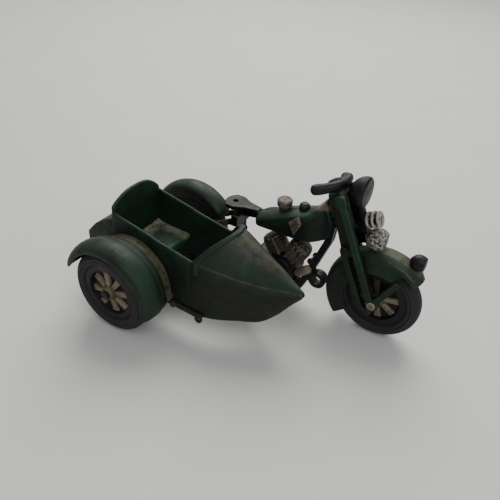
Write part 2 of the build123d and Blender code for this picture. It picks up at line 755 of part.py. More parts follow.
cap_x = front_axle_x - 72.6
with BuildPart() as filler_cap:
    with BuildSketch(Plane.XY.offset(cap_seat)):
        with Locations((cap_x, bike_y)):
            Circle(cap_stem_radius)
    extrude(amount=cap_stem_height)
    with BuildSketch(Plane.XY.offset(cap_seat + cap_stem_height)):
        with Locations((cap_x, bike_y)):
            Circle(cap_radius)
    extrude(amount=cap_height)
    chamfer(filler_cap.faces().sort_by(Axis.Z)[-1].edges(), length=1.0)
    with BuildSketch(bike_side):
        with BuildLine():
            Polyline(*tank_points, close=True)
        make_face()
    extrude(amount=tank_half_width, both=True, mode=Mode.SUBTRACT)
finish(filler_cap, "filler_cap")

small_cap_x = front_axle_x - 58.4
with BuildPart() as small_cap:
    with BuildSketch(Plane.XY.offset(small_cap_seat)):
        with Locations((small_cap_x, bike_y)):
            Circle(small_cap_radius)
    extrude(amount=small_cap_height)
    chamfer(small_cap.faces().sort_by(Axis.Z)[-1].edges(), length=1.4)
    with BuildSketch(bike_side):
        with BuildLine():
            Polyline(*tank_points, close=True)
        make_face()
    extrude(amount=tank_half_width, both=True, mode=Mode.SUBTRACT)
finish(small_cap, "oil_cap")

plate_points = ((front_axle_x - 57.0, 71.0), (front_axle_x - 54.6, 66.0), (front_axle_x - 59.0, 57.0),
                (front_axle_x - 63.4, 65.0))
with BuildPart() as side_plate:
    with BuildSketch(bike_side.offset(tank_half_width)):
        with BuildLine():
            Polyline(*plate_points, close=True)
        make_face()
    extrude(amount=plate_thickness)
finish(side_plate, "tank_side_plate")

# ================================================================ sidecar tub
seat_back_x = sidecar_axle_x - 17.0
cowl_x = sidecar_axle_x + 46.0
coaming_top_x = sidecar_axle_x + 61.0
coaming_top_z = 76.4
coaming_edge = 1.0
open_below = belly_height - 6.0
near_corner_height = seat_back_height - 7.0
far_corner_height = seat_back_height - 10.0

# Hull stations: distance ahead of the sidecar axle, half-width at the crease, height of the crease,
# height of the ridge, half-width at the belly, height of the belly.
hull_stations = (
    (44.0, tub_half_width, 56.5, 80.0, tub_half_width, belly_height),
    (61.0, tub_half_width - 0.8, 55.8, 75.2, 18.0, belly_height),
    (73.0, 17.2, 53.0, 69.0, 11.0, belly_height),
    (85.0, 12.0, 50.4, 63.4, 4.6, 17.5),
    (96.0, 6.8, 49.0, 58.0, 2.0, 28.0),
    (104.0, 3.4, 48.6, 52.6, 1.4, 39.0),
    (110.2, 0.9, 48.0, 49.4, 0.6, 45.6),
)


def hull_outline(half_width, crease, ridge, belly_half, belly):
    """Closed hull outline: flared sides, a crease and a rounded deck."""
    rise = ridge - crease
    left = ((belly_half, belly), (half_width, crease), (half_width * 0.74, crease + rise * 0.46),
            (half_width * 0.36, crease + rise * 0.86))
    right = tuple((-across, height) for across, height in reversed(left))
    return [(tub_y + across, height) for across, height in left + ((0.0, ridge),) + right]


rail_rear_x = sidecar_axle_x + 26.0
rail_front_x = sidecar_axle_x + 52.0
rail_middle_z = belly_height + rail_height / 2
rail_rivet = (rail_rear_x + 6.0, rail_middle_z + 1.0)
front_arm_place = (seat_post_x, arm_height)
rear_arm_place = (rear_axle_x + 19.0, arm_height + 2.6)

with BuildPart() as hull_cavity:
    for ahead, half_width, crease, ridge, belly_half, belly in hull_stations[:-2]:
        cavity_floor = open_below if belly == belly_height else belly + 2 * tub_wall
        with BuildSketch(Plane.YZ.offset(sidecar_axle_x + ahead - 1.0)):
            with BuildLine():
                Polyline(*hull_outline(half_width - tub_wall, crease - 1.0, ridge - tub_wall - 1.0,
                                       max(belly_half - tub_wall, 0.6), cavity_floor), close=True)
            make_face()
    loft(ruled=True)

with BuildPart() as tub:
    for ahead, half_width, crease, ridge, belly_half, belly in hull_stations:
        with BuildSketch(Plane.YZ.offset(sidecar_axle_x + ahead)):
            with BuildLine():
                Polyline(*hull_outline(half_width, crease, ridge, belly_half, belly), close=True)
            make_face()
    loft(ruled=True)
    with BuildSketch(tub_side):
        with BuildLine():
            Polyline((seat_back_x, belly_height), (seat_back_x, rim_rear_height),
                     (cowl_x, rim_front_height), (cowl_x, belly_height), close=True)
        make_face()
    extrude(amount=tub_half_width, both=True)
    with BuildSketch(tub_side):
        with BuildLine():
            Polyline((cowl_x - tub_half_width, rim_front_height + seat_clearance),
                     (cowl_x - coaming_edge, rim_front_height + seat_clearance),
                     (coaming_top_x - coaming_edge, coaming_top_z),
                     (coaming_top_x - coaming_edge, clear_of_tub),
                     (cowl_x - tub_half_width, clear_of_tub), close=True)
        make_face()
    extrude(amount=tub_half_width + tub_wall, both=True, mode=Mode.SUBTRACT)
    add(hull_cavity.part, mode=Mode.SUBTRACT)
    with BuildSketch(tub_side):
        with BuildLine():
            Polyline((seat_back_x + seat_back_thickness, open_below),
                     (seat_back_x + seat_back_thickness, clear_of_tub), (cowl_x, clear_of_tub),
                     (cowl_x, open_below), close=True)
        make_face()
    extrude(amount=tub_half_width - tub_wall, both=True, mode=Mode.SUBTRACT)
    with BuildSketch(Plane.YZ.offset(seat_back_x)):
        with BuildLine():
            Line((near_wall_y, belly_height), (near_wall_y, near_corner_height))
            ThreePointArc((near_wall_y, near_corner_height), (tub_y, seat_back_height),
                          (far_wall_y, far_corner_height))
            Polyline((far_wall_y, far_corner_height), (far_wall_y, belly_height),
                     (near_wall_y, belly_height))
        make_face()
    extrude(amount=seat_back_thickness)
    with BuildSketch(Plane.XZ.offset(-near_wall_y)):
        with Locations((sidecar_axle_x, wheel_radius)):
            Circle(axle_radius + seat_clearance)
        with Locations(rail_rivet):
            Circle(rivet_radius + seat_clearance)
    extrude(amount=-tub_wall - 1.0, mode=Mode.SUBTRACT)
    with BuildSketch(Plane.XZ.offset(-far_wall_y)):
        with Locations(front_arm_place, rear_arm_place):
            Circle(arm_spigot_radius + seat_clearance)
    extrude(amount=tub_wall + 1.0, mode=Mode.SUBTRACT)
finish(tub, "sidecar_tub")

seat_rear_x = seat_back_x + seat_back_thickness
seat_front_x = seat_rear_x + seat_length
seat_lip_depth = 6.0
seat_lip_thickness = 3.0
seat_peg_setback = 10.0
with BuildPart() as sidecar_seat:
    with BuildSketch(tub_side):
        with BuildLine():
            Polyline((seat_rear_x, seat_top), (seat_front_x, seat_top),
                     (seat_front_x, seat_top - seat_lip_depth),
                     (seat_front_x - seat_lip_thickness, seat_top - seat_lip_depth),
                     (seat_front_x - seat_lip_thickness, seat_top - seat_thickness),
                     (seat_rear_x, seat_top - seat_thickness), close=True)
        make_face()
    extrude(amount=tub_half_width - tub_wall, both=True)
    with BuildSketch(Plane.XY.offset(seat_top)):
        with Locations((seat_front_x - seat_peg_setback, tub_y)):
            Circle(seat_peg_radius)
    extrude(amount=-seat_thickness, mode=Mode.SUBTRACT)
finish(sidecar_seat, "sidecar_seat")

trunk_rear_x = seat_back_x - trunk_depth
trunk_corner = 2.4
trunk_outline = ((seat_back_x, 62.0), (seat_back_x - 9.0, 58.4), (seat_back_x - 18.0, 52.0),
                 (trunk_rear_x, 44.0), (trunk_rear_x, 28.0), (seat_back_x, 20.0))
trunk_cavity = ((seat_back_x, 59.6), (seat_back_x - 9.0, 56.0), (seat_back_x - 17.0, 50.4),
                (trunk_rear_x + tub_wall, 43.0), (trunk_rear_x + tub_wall, 20.0), (seat_back_x, 12.0))
with BuildPart() as trunk:
    with BuildSketch(tub_side):
        with BuildLine():
            Polyline(*trunk_outline, close=True)
        make_face()
    extrude(amount=trunk_half_width, both=True)
    fillet(trunk.edges().filter_by(Axis.Y).group_by(Axis.X)[0], radius=trunk_corner)
    with BuildSketch(tub_side):
        with BuildLine():
            Polyline(*trunk_cavity, close=True)
        make_face()
    extrude(amount=trunk_half_width - tub_wall, both=True, mode=Mode.SUBTRACT)
finish(trunk, "sidecar_trunk")

# ================================================================ sidecar fender
lip = wheel_y - sidecar_fender_overhang
crest_r = sidecar_fender_crest
fender_outline = ((sidecar_lip_radius, lip), (crest_r - 3.0, lip + 1.0), (crest_r - 0.7, lip + 3.8),
                  (crest_r, lip + 7.4), (crest_r - 0.9, lip + 11.6), (crest_r - 2.8, lip + 15.6),
                  (crest_r - 5.0, lip + 18.6), (crest_r - 6.0, lip + 20.6), (crest_r - 6.4, near_wall_y))
inner_outline = ((crest_r - 7.8, near_wall_y), (crest_r - 7.4, lip + 19.8), (crest_r - 4.6, lip + 15.0),
                 (crest_r - 2.6, lip + 11.0), (crest_r - 1.8, lip + 7.6), (crest_r - 2.4, lip + 5.0),
                 (crest_r - 4.2, lip + 2.6), (sidecar_lip_radius, lip + 1.7))
with BuildPart() as sidecar_fender:
    with BuildSketch(radial_plane(sidecar_axle, sidecar_fender_start)):
        with BuildLine():
            Polyline(*[(r, y - wheel_y) for r, y in fender_outline + inner_outline], close=True)
        make_face()
    revolve(axis=Axis(sidecar_axle, (0, -1, 0)), revolution_arc=sidecar_fender_end - sidecar_fender_start)
finish(sidecar_fender, "sidecar_fender")

# ================================================================ sidecar running gear
with BuildPart() as axle_bracket:
    with BuildSketch(Plane.XZ.offset(-near_wall_y)):
        with Locations((sidecar_axle_x, wheel_radius)):
            Circle(bracket_flange_radius)
    extrude(amount=bracket_flange_thickness)
    with BuildSketch(Plane.XZ.offset(-near_wall_y)):
        with Locations((sidecar_axle_x, wheel_radius)):
            Circle(bracket_radius)
    extrude(amount=wheel_to_tub - hub_half_length - side_gap)
    with BuildSketch(Plane.XZ.offset(-near_wall_y)):
        with Locations((sidecar_axle_x, wheel_radius)):
            Circle(axle_radius + seat_clearance)
    extrude(amount=wheel_to_tub, mode=Mode.SUBTRACT)
finish(axle_bracket, "sidecar_axle_bracket")

rail_eye = (rail_front_x - 1.0, belly_height - 1.0)
with BuildPart() as side_rail:
    with BuildSketch(Plane.XZ.offset(-near_wall_y)):
        bar((rail_rear_x, rail_middle_z + 1.4), (rail_front_x, rail_middle_z), rail_height)
        with Locations(rail_eye):
            Circle(rail_eye_boss_radius)
            Circle(rail_eye_radius, mode=Mode.SUBTRACT)
        with Locations(rail_rivet):
            Circle(rivet_radius + seat_clearance, mode=Mode.SUBTRACT)
    extrude(amount=rail_thickness)
finish(side_rail, "sidecar_side_rail")

with BuildPart() as rail_rivet_pin:
    with BuildSketch(Plane.XZ.offset(-near_wall_y)):
        with Locations(rail_rivet):
            Circle(rivet_radius)
    extrude(amount=rail_thickness)
    extrude(rail_rivet_pin.faces().sort_by(Axis.Y)[-1], amount=tub_wall)
    with BuildSketch(Plane.XZ.offset(-near_wall_y + rail_thickness)):
        with Locations(rail_rivet):
            Circle(rail_rivet_head_radius)
    extrude(amount=rivet_head_height)
    with BuildSketch(Plane.XZ.offset(-near_wall_y - tub_wall)):
        with Locations(rail_rivet):
            Circle(rivet_head_radius)
    extrude(amount=-rivet_head_height)
finish(rail_rivet_pin, "side_rail_rivet")


def build_arm(name, place):
    """Cross arm: a bar from the motorcycle to a flange on the tub, its spigot peened inside."""
    stay_face = bike_y - rear_fender_half_width - stay_thickness
    tub_face = Plane.XZ.offset(-far_wall_y)
    with BuildPart() as arm:
        with BuildSketch(tub_face):
            with Locations(place):
                Circle(arm_radius)
        extrude(amount=-(stay_face - far_wall_y))
        with BuildSketch(tub_face):
            with Locations(place):
                Circle(arm_flange_radius)
        extrude(amount=-arm_flange_thickness)
        with BuildSketch(tub_face):
            with Locations(place):
                Circle(arm_spigot_radius)
        extrude(amount=tub_wall)
        with BuildSketch(tub_face.offset(tub_wall)):
            with Locations(place):
                Circle(rivet_head_radius)
        extrude(amount=rivet_head_height)
    finish(arm, name)


build_arm("front_cross_arm", front_arm_place)
build_arm("rear_cross_arm", rear_arm_place)
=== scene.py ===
"""Looks of a worn cast-iron toy motorcycle with a sidecar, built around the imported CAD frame.

The scene is in metres, +X forward, +Y left, +Z up. Outlines and paint zones are in millimetres.
"""
import json
import math

import bmesh
import bpy
import numpy as np
from mathutils import Matrix, Vector, noise


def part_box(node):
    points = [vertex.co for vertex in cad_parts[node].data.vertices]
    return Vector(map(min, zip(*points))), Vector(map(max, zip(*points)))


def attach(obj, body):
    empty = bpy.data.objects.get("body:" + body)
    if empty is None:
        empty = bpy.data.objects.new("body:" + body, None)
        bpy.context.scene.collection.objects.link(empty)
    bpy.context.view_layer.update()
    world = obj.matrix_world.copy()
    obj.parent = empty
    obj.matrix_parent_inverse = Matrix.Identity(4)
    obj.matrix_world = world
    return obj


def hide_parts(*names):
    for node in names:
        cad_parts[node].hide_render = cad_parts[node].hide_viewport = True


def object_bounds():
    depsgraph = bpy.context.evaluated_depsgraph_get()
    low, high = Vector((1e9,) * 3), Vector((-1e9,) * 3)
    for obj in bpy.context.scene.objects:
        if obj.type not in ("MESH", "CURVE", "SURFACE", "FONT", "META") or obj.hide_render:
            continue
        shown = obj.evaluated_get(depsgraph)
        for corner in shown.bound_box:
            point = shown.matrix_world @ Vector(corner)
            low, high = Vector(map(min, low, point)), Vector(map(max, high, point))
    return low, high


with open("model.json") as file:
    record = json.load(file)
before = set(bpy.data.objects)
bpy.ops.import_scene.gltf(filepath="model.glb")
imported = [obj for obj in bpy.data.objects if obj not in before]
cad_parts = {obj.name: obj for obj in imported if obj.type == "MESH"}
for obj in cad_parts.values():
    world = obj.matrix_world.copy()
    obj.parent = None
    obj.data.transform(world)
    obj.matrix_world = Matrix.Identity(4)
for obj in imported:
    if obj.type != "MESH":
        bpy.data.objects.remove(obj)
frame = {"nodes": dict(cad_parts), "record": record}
cad_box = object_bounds()
MM = 0.001

# ---------- places read from the frame


def middle(node):
    """Centre of a CAD node's box."""
    low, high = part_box(node)
    return (low + high) / 2


front_hub = middle("front_axle")
rear_hub = middle("rear_axle")
side_hub = middle("sidecar_tyre")
bike_y = front_hub.y
tub_low, tub_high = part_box("sidecar_tub")
tub_y = (tub_low.y + tub_high.y) / 2

# the same places in millimetres
fork_x = front_hub.x / MM  # front axle
bike_mid = bike_y / MM  # middle plane of the motorcycle
wheel_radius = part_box("front_tyre")[1].z / 2 / MM
axle_x = side_hub.x / MM  # sidecar axle
rear_x = tub_low.x / MM  # back of the tub
tub_mid = tub_y / MM  # middle plane of the tub
rake = math.radians(24.5)  # lean of the fork


# ---------- helpers
def fine(size):
    return size * MM


def in_metres(pairs):
    """Outline given in millimetres."""
    return [(a * MM, b * MM) for a, b in pairs]


def new_piece(name, vertices, faces):
    """Mesh object from plain lists, with its normals turned outwards."""
    mesh = bpy.data.meshes.new(name)
    mesh.from_pydata([tuple(v) for v in vertices], [], faces)
    work = bmesh.new()
    work.from_mesh(mesh)
    bmesh.ops.recalc_face_normals(work, faces=work.faces)
    work.to_mesh(mesh)
    work.free()
    piece = bpy.data.objects.new(name, mesh)
    bpy.context.scene.collection.objects.link(piece)
    return piece


def grid_faces(rows, columns, close_rows=False, close_columns=True):
    """Quads over a grid of points stored row after row."""
    faces = []
    for i in range(rows if close_rows else rows - 1):
        for j in range(columns if close_columns else columns - 1):
            a, b = i * columns + j, i * columns + (j + 1) % columns
            c, d = (i + 1) % rows * columns + (j + 1) % columns, (i + 1) % rows * columns + j
            faces.append((a, b, c, d))
    return faces


def loft(name, rings):
    """Closed tube through rings of points, with a face over each end."""
    columns = len(rings[0])
    points = [p for ring in rings for p in ring]
    faces = grid_faces(len(rings), columns)
    faces += [tuple(range(columns))[::-1], tuple(range(len(points) - columns, len(points)))]
    return new_piece(name, points, faces)


def lathe(name, profile, origin, axis, steps=72):
    """Turned solid: profile is (along the axis, radius), from one end on the axis to the other."""
    axis = Vector(axis).normalized()
    side = axis.orthogonal().normalized()
    over = axis.cross(side)
    inner = [p for p in profile if p[1] > 1e-6]
    points = []
    for i in range(steps):
        turn = 2 * math.pi * i / steps
        out = side * math.cos(turn) + over * math.sin(turn)
        points += [origin + axis * along + out * radius for along, radius in inner]
    count = len(inner)
    faces = grid_faces(steps, count, close_rows=True, close_columns=False)
    for place, end in ((0, profile[0]), (count - 1, profile[-1])):
        points.append(origin + axis * end[0])
        hub = len(points) - 1
        faces += [(hub, i * count + place, (i + 1) % steps * count + place) for i in range(steps)]
    return new_piece(name, points, faces)


def rounded(profile, radius=0.35 * MM, steps=3):
    """The same outline with each corner cut by a short arc."""
    result = [profile[0]]
    for before, corner, after in zip(profile, profile[1:], profile[2:]):
        corner = Vector(corner)
        back, ahead = Vector(before) - corner, Vector(after) - corner
        reach = min(radius, back.length * 0.45, ahead.length * 0.45)
        start, end = corner + back.normalized() * reach, corner + ahead.normalized() * reach
        for i in range(steps + 1):
            t = i / steps
            point = start * (1 - t) ** 2 + corner * 2 * t * (1 - t) + end * t * t
            result.append(tuple(point))
    return result + [profile[-1]]


def smooth_path(points, steps=8):
    """Catmull-Rom curve through the points."""
    vectors = [Vector(p) for p in points]
    padded = [vectors[0] * 2 - vectors[1]] + vectors + [vectors[-1] * 2 - vectors[-2]]
    result = []
    for a, b, c, d in zip(padded, padded[1:], padded[2:], padded[3:]):
        for i in range(steps):
            t = i / steps
            result.append((b * 2 + (c - a) * t + (a * 2 - b * 5 + c * 4 - d) * t * t
                           + (b * 3 - a - c * 3 + d) * t ** 3) / 2)
    return result + [vectors[-1]]


def tube(name, path, radii, steps=20):
    """Round bar with domed ends along a path; radii is one number or one for each point."""
    if not isinstance(radii, (list, tuple)):
        radii = [radii] * len(path)
    rings = []
    side = None
    for i, (point, radius) in enumerate(zip(path, radii)):
        ahead = (path[min(i + 1, len(path) - 1)] - path[max(i - 1, 0)]).normalized()
        if side is None:
            side = ahead.orthogonal().normalized()
        else:
            side = (side - ahead * side.dot(ahead)).normalized()
        over = ahead.cross(side)
        domes = [(0.0, 1.0)]
        if i == 0:
            domes = [(-math.cos(a), math.sin(a)) for a in (0.25, 0.7, 1.15)] + domes
        if i == len(path) - 1:
            domes = domes + [(math.cos(a), math.sin(a)) for a in (1.15, 0.7, 0.25)]
        for along, width in domes:
            shift = ahead * along * radius * 0.8
            rings.append([point + shift + (side * math.cos(t) + over * math.sin(t)) * radius * width
                          for t in (2 * math.pi * k / steps for k in range(steps))])
    return loft(name, rings)


def cad_copy(name, *nodes):
    """New piece with the joined meshes of CAD nodes."""
    vertices, faces = [], []
    for node in nodes:
        mesh = frame["nodes"][node].data
        start = len(vertices)
        vertices += [v.co.copy() for v in mesh.vertices]
        faces += [tuple(start + i for i in p.vertices) for p in mesh.polygons]
    piece = new_piece(name, vertices, faces)
    work = bmesh.new()
    work.from_mesh(piece.data)
    bmesh.ops.remove_doubles(work, verts=work.verts, dist=1e-6)
    work.to_mesh(piece.data)
    work.free()
    return piece


def join(name, *parts):
    """One object holding the meshes of several."""
    vertices, faces = [], []
    for part in parts:
        start = len(vertices)
        vertices += [part.matrix_world @ v.co for v in part.data.vertices]
        faces += [tuple(start + i for i in p.vertices) for p in part.data.polygons]
        bpy.data.objects.remove(part)
    return new_piece(name, vertices, faces)


def bake_modifiers(piece):
    """Applies every modifier of a piece to its mesh."""
    graph = bpy.context.evaluated_depsgraph_get()
    mesh = bpy.data.meshes.new_from_object(piece.evaluated_get(graph))
    piece.modifiers.clear()
    piece.data = mesh
    return piece


def cast(piece, voxel, relax, keep=0.45):
    """Fuses overlapping solids into one casting with soft edges."""
    remesh = piece.modifiers.new("fuse", "REMESH")
    remesh.mode = "VOXEL"
    remesh.voxel_size = voxel
    soften = piece.modifiers.new("soften", "SMOOTH")
    soften.factor = 0.5
    soften.iterations = relax
    thin = piece.modifiers.new("thin", "DECIMATE")
    thin.ratio = keep
    return bake_modifiers(piece)


def numbers(mesh, what, attribute, kind, width):
    """One attribute of a mesh's vertices or edges as an array."""
    data = getattr(mesh, what)
    values = np.zeros(len(data) * width, kind)
    data.foreach_get(attribute, values)
    return values.reshape(-1, width) if width > 1 else values


def roughen(piece, height):
    """Uneven sand-cast surface: points move a little along their normals, and stay in the CAD's box."""
    size = 6 * MM
    mesh = piece.data
    places = numbers(mesh, "vertices", "co", np.float32, 3)
    normals = numbers(mesh, "vertices", "normal", np.float32, 3)
    shift = np.array([noise.noise(Vector(p) / size) + 0.4 * noise.noise(Vector(p) / size * 3.1)
                      for p in places], np.float32)
    places += normals * (shift * height)[:, None]
    places = np.clip(places, np.array(cad_box[0]), np.array(cad_box[1])).astype(np.float32)
    mesh.vertices.foreach_set("co", places.ravel())
    mesh.update()


def mark_edges(piece):
    """Writes how convex and how hollow each point is, for worn edges with a painted highlight on them and for
    painted shade in hollows.
    """
    mesh = piece.data
    places = numbers(mesh, "vertices", "co", np.float32, 3).astype(float)
    normals = numbers(mesh, "vertices", "normal", np.float32, 3).astype(float)
    edges = numbers(mesh, "edges", "vertices", np.int32, 2)
    a, b = edges[:, 0], edges[:, 1]
    way = places[b] - places[a]
    length = np.maximum(np.linalg.norm(way, axis=1), 1e-7)
    count = np.zeros(len(places))
    bend = np.zeros(len(places))
    for start, end, sign in ((a, b, 1.0), (b, a, -1.0)):
        np.add.at(count, start, 1)
        np.add.at(bend, start, -sign * (way * normals[start]).sum(1) / length ** 2)
    bend = bend / np.maximum(count, 1)
    for _ in range(3):
        total = bend.copy()
        np.add.at(total, a, bend[b])
        np.add.at(total, b, bend[a])
        bend = total / (count + 1)
    bend *= 2 * MM
    # The second value, the concavity, drives the painted shade in hollows.
    for name, values in (("wear", bend), ("hollow_shade", -bend)):
        layer = mesh.attributes.new(name, "FLOAT", "POINT")
        layer.data.foreach_set("value", np.clip(values, 0, 1).astype(np.float32))


def write_zone(piece, name, share_at):
    """Writes a named 0 to 1 value on each point, worked out from its place in millimetres."""
    layer = piece.data.attributes.get(name) or piece.data.attributes.new(name, "FLOAT", "POINT")
    layer.data.foreach_set("value", [share_at(v.co / MM) if share_at else 0.0 for v in piece.data.vertices])


def publish(piece, material, body, slot, *nodes, rough=0.05 * MM, dark=None, pale=None):
    """Finishes a piece: surface, marked edges, zones, material, body and the nodes it stands for. The slot
    argument is not used.
    """
    roughen(piece, rough)
    mark_edges(piece)
    write_zone(piece, "dark", dark)
    write_zone(piece, "pale", pale)
    piece.data.materials.clear()
    piece.data.materials.append(material)
    piece.data.polygons.foreach_set("use_smooth", [True] * len(piece.data.polygons))
    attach(piece, body)
    if nodes:
        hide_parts(*nodes)
    return piece


def ease(value):
    """Smooth 0 to 1."""
    value = min(max(value, 0.0), 1.0)
    return value * value * (3 - 2 * value)


def even(share):
    """Paint zone with one value everywhere."""
    return lambda place: share


def hermite(t, start, end, start_slope, end_slope):
    """Smooth in-between of two values that leave and arrive with the given slopes."""
    return ((2 * t ** 3 - 3 * t * t + 1) * start + (t ** 3 - 2 * t * t + t) * start_slope
            + (3 * t * t - 2 * t ** 3) * end + (t ** 3 - t * t) * end_slope)


# ---------- materials
class Nodes:
    """Short way to write a node material."""

    def __init__(self, name):
        self.material = bpy.data.materials.new(name)
        self.material.use_nodes = True
        self.tree = self.material.node_tree
        self.shader = self.tree.nodes["Principled BSDF"]
        self.place = self.add("ShaderNodeTexCoord").outputs["Object"]

    def add(self, kind, **values):
        """New node with its settings."""
        node = self.tree.nodes.new(kind)
        for key, value in values.items():
            setattr(node, key, value)
        return node

    def link(self, source, target):
        """Wire between two sockets."""
        self.tree.links.new(source, target)

    def noise(self, size, detail=4.0, rough=0.6):
        """Soft noise whose blobs are about that size."""
        node = self.add("ShaderNodeTexNoise")
        node.inputs["Scale"].default_value = 1 / size
        node.inputs["Detail"].default_value = detail
        node.inputs["Roughness"].default_value = rough
        self.link(self.place, node.inputs["Vector"])
        return node.outputs["Fac"]

    def step(self, value, low, high, top=1.0, bottom=0.0):
        """Value carried from low..high to bottom..top."""
        node = self.add("ShaderNodeMapRange")
        node.inputs["From Min"].default_value = low
        node.inputs["From Max"].default_value = high
        node.inputs["To Min"].default_value = bottom
        node.inputs["To Max"].default_value = top
        self.link(value, node.inputs["Value"])
        return node.outputs["Result"]

    def math(self, kind, first, second):
        """Sum, difference or product of sockets or numbers."""
        node = self.add("ShaderNodeMath", operation=kind)
        for socket, value in zip(node.inputs, (first, second)):
            if isinstance(value, (int, float)):
                socket.default_value = value
            else:
                self.link(value, socket)
        return node.outputs["Value"]

    def mix(self, factor, first, second):
        """Colour from first to second."""
        node = self.add("ShaderNodeMix", data_type="RGBA")
        self.link(factor, node.inputs["Factor"])
        for socket, value in ((node.inputs[6], first), (node.inputs[7], second)):
            if isinstance(value, tuple):
                socket.default_value = (*value, 1)
            else:
                self.link(value, socket)
        return node.outputs[2]

    def vary_roughness(self, size, low, high):
        """Roughness between two values, in soft blobs."""
        self.link(self.step(self.noise(size, 5), 0.3, 0.7, high, low), self.shader.inputs["Roughness"])

    def mark(self, name):
        """Value written on the mesh by mark_edges or write_zone."""
        return self.add("ShaderNodeAttribute", attribute_name=name).outputs["Fac"]

    def facing(self, axis):
        """Component of the surface normal along X, Y or Z."""
        split = self.add("ShaderNodeSeparateXYZ")
        self.link(self.add("ShaderNodeNewGeometry").outputs["Normal"], split.inputs[0])
        return split.outputs[axis]

    def bump(self, height, distance, strength=0.5):
        """Fine relief under the paint."""
        node = self.add("ShaderNodeBump")
        node.inputs["Strength"].default_value = strength
        node.inputs["Distance"].default_value = distance
        self.link(height, node.inputs["Height"])
        self.link(node.outputs["Normal"], self.shader.inputs["Normal"])


# Near-black used for painted shade in the dark zones and in hollows, and for fine dirt specks.
SHADE_AND_GRIME = (0.006, 0.005, 0.004)
DUST = (0.062, 0.056, 0.044)
TAN = (0.20, 0.155, 0.10)


def enamel(name, coat, deep, worn=TAN, wear=1.0, dust=0.35, low=0.42, high=0.68):
    """Old enamel on cast iron: uneven colour, dusty top faces, worn edges with a painted highlight on them,
    painted shade in hollows and in the dark zones.
    """
    n = Nodes(name)
    broad = n.noise(15 * MM)
    colour = n.mix(n.step(broad, 0.36, 0.66), deep, coat)
    colour = n.mix(n.step(n.noise(2.4 * MM, 6), 0.5, 0.75, 0.5), colour, deep)
    # Painted highlight: convex edges take a lighter copy of the coat.
    edge_highlight = tuple(1.9 * c for c in coat)
    colour = n.mix(n.step(n.mark("wear"), 0.12, 0.8, 0.55), colour, edge_highlight)
    dusty = n.math("MULTIPLY", n.step(n.facing("Z"), 0.3, 1.0, dust),
                   n.step(n.noise(9 * MM, 6), 0.40, 0.64))
    colour = n.mix(dusty, colour, DUST)
    pale = n.math("MULTIPLY", n.mark("pale"), n.step(n.noise(4.5 * MM, 7, 0.65), 0.30, 0.56))
    colour = n.mix(pale, colour, worn)
    rub = n.math("ADD", n.math("MULTIPLY", n.mark("wear"), 0.42),
                 n.math("MULTIPLY", n.noise(3.0 * MM, 6, 0.7), 0.6))
    rub = n.math("ADD", rub, n.math("MULTIPLY", broad, 0.35))
    colour = n.mix(n.step(rub, 0.93 - 0.06 * wear, 1.10 - 0.06 * wear, min(1.0, 0.8 * wear)), colour, worn)
    # Painted shade: the dark zone and the hollows are mixed towards near-black.
    colour = n.mix(n.step(n.mark("dark"), 0.0, 1.0, 0.88), colour, SHADE_AND_GRIME)
    colour = n.mix(n.step(n.mark("hollow_shade"), 0.05, 0.4, 0.85), colour, SHADE_AND_GRIME)
    colour = n.mix(n.step(n.noise(1.2 * MM, 3, 0.7), 0.68, 0.72, 0.5 * wear), colour, SHADE_AND_GRIME)
    n.link(colour, n.shader.inputs["Base Color"])
    n.vary_roughness(7 * MM, low, high)
    n.bump(n.math("ADD", n.noise(0.9 * MM, 5, 0.7), n.math("MULTIPLY", n.noise(5 * MM), 2.0)), 0.14 * MM)
    n.shader.inputs["Specular IOR Level"].default_value = 0.3
    return n.material


def flaked(name, bright, dark, brown, size, share, metal=0.35):
    """Silver paint over black, flaked away in mottled spots."""
    n = Nodes(name)
    spots = n.math("ADD", n.noise(size, 6, 0.75), n.math("MULTIPLY", n.mark("wear"), 0.28))
    # Painted shade: hollows are pushed towards the black.
    spots = n.math("SUBTRACT", spots, n.math("MULTIPLY", n.mark("hollow_shade"), 0.5))
    colour = n.mix(n.step(n.noise(size * 2.2, 5), 0.42, 0.66), bright, brown)
    colour = n.mix(n.step(spots, share - 0.035, share + 0.035), dark, colour)
    n.link(colour, n.shader.inputs["Base Color"])
    n.vary_roughness(size, 0.45, 0.7)
    n.bump(spots, 0.2 * MM, 0.7)
    n.shader.inputs["Metallic"].default_value = metal
    return n.material


def aged_rubber():
    """Grey-black tyre rubber with pale dust in the grooves."""
    n = Nodes("aged_rubber")
    colour = n.mix(n.step(n.noise(9 * MM, 6), 0.35, 0.7), (0.008, 0.0077, 0.0076), (0.016, 0.015, 0.0145))
    colour = n.mix(n.step(n.mark("wear"), 0.1, 0.6, 0.4), colour, (0.030, 0.028, 0.026))
    colour = n.mix(n.step(n.noise(2 * MM, 5), 0.6, 0.75, 0.3), colour, (0.042, 0.036, 0.028))
    n.link(colour, n.shader.inputs["Base Color"])
    n.shader.inputs["Roughness"].default_value = 0.78
    n.bump(n.noise(0.8 * MM, 5), 0.08 * MM)
    return n.material


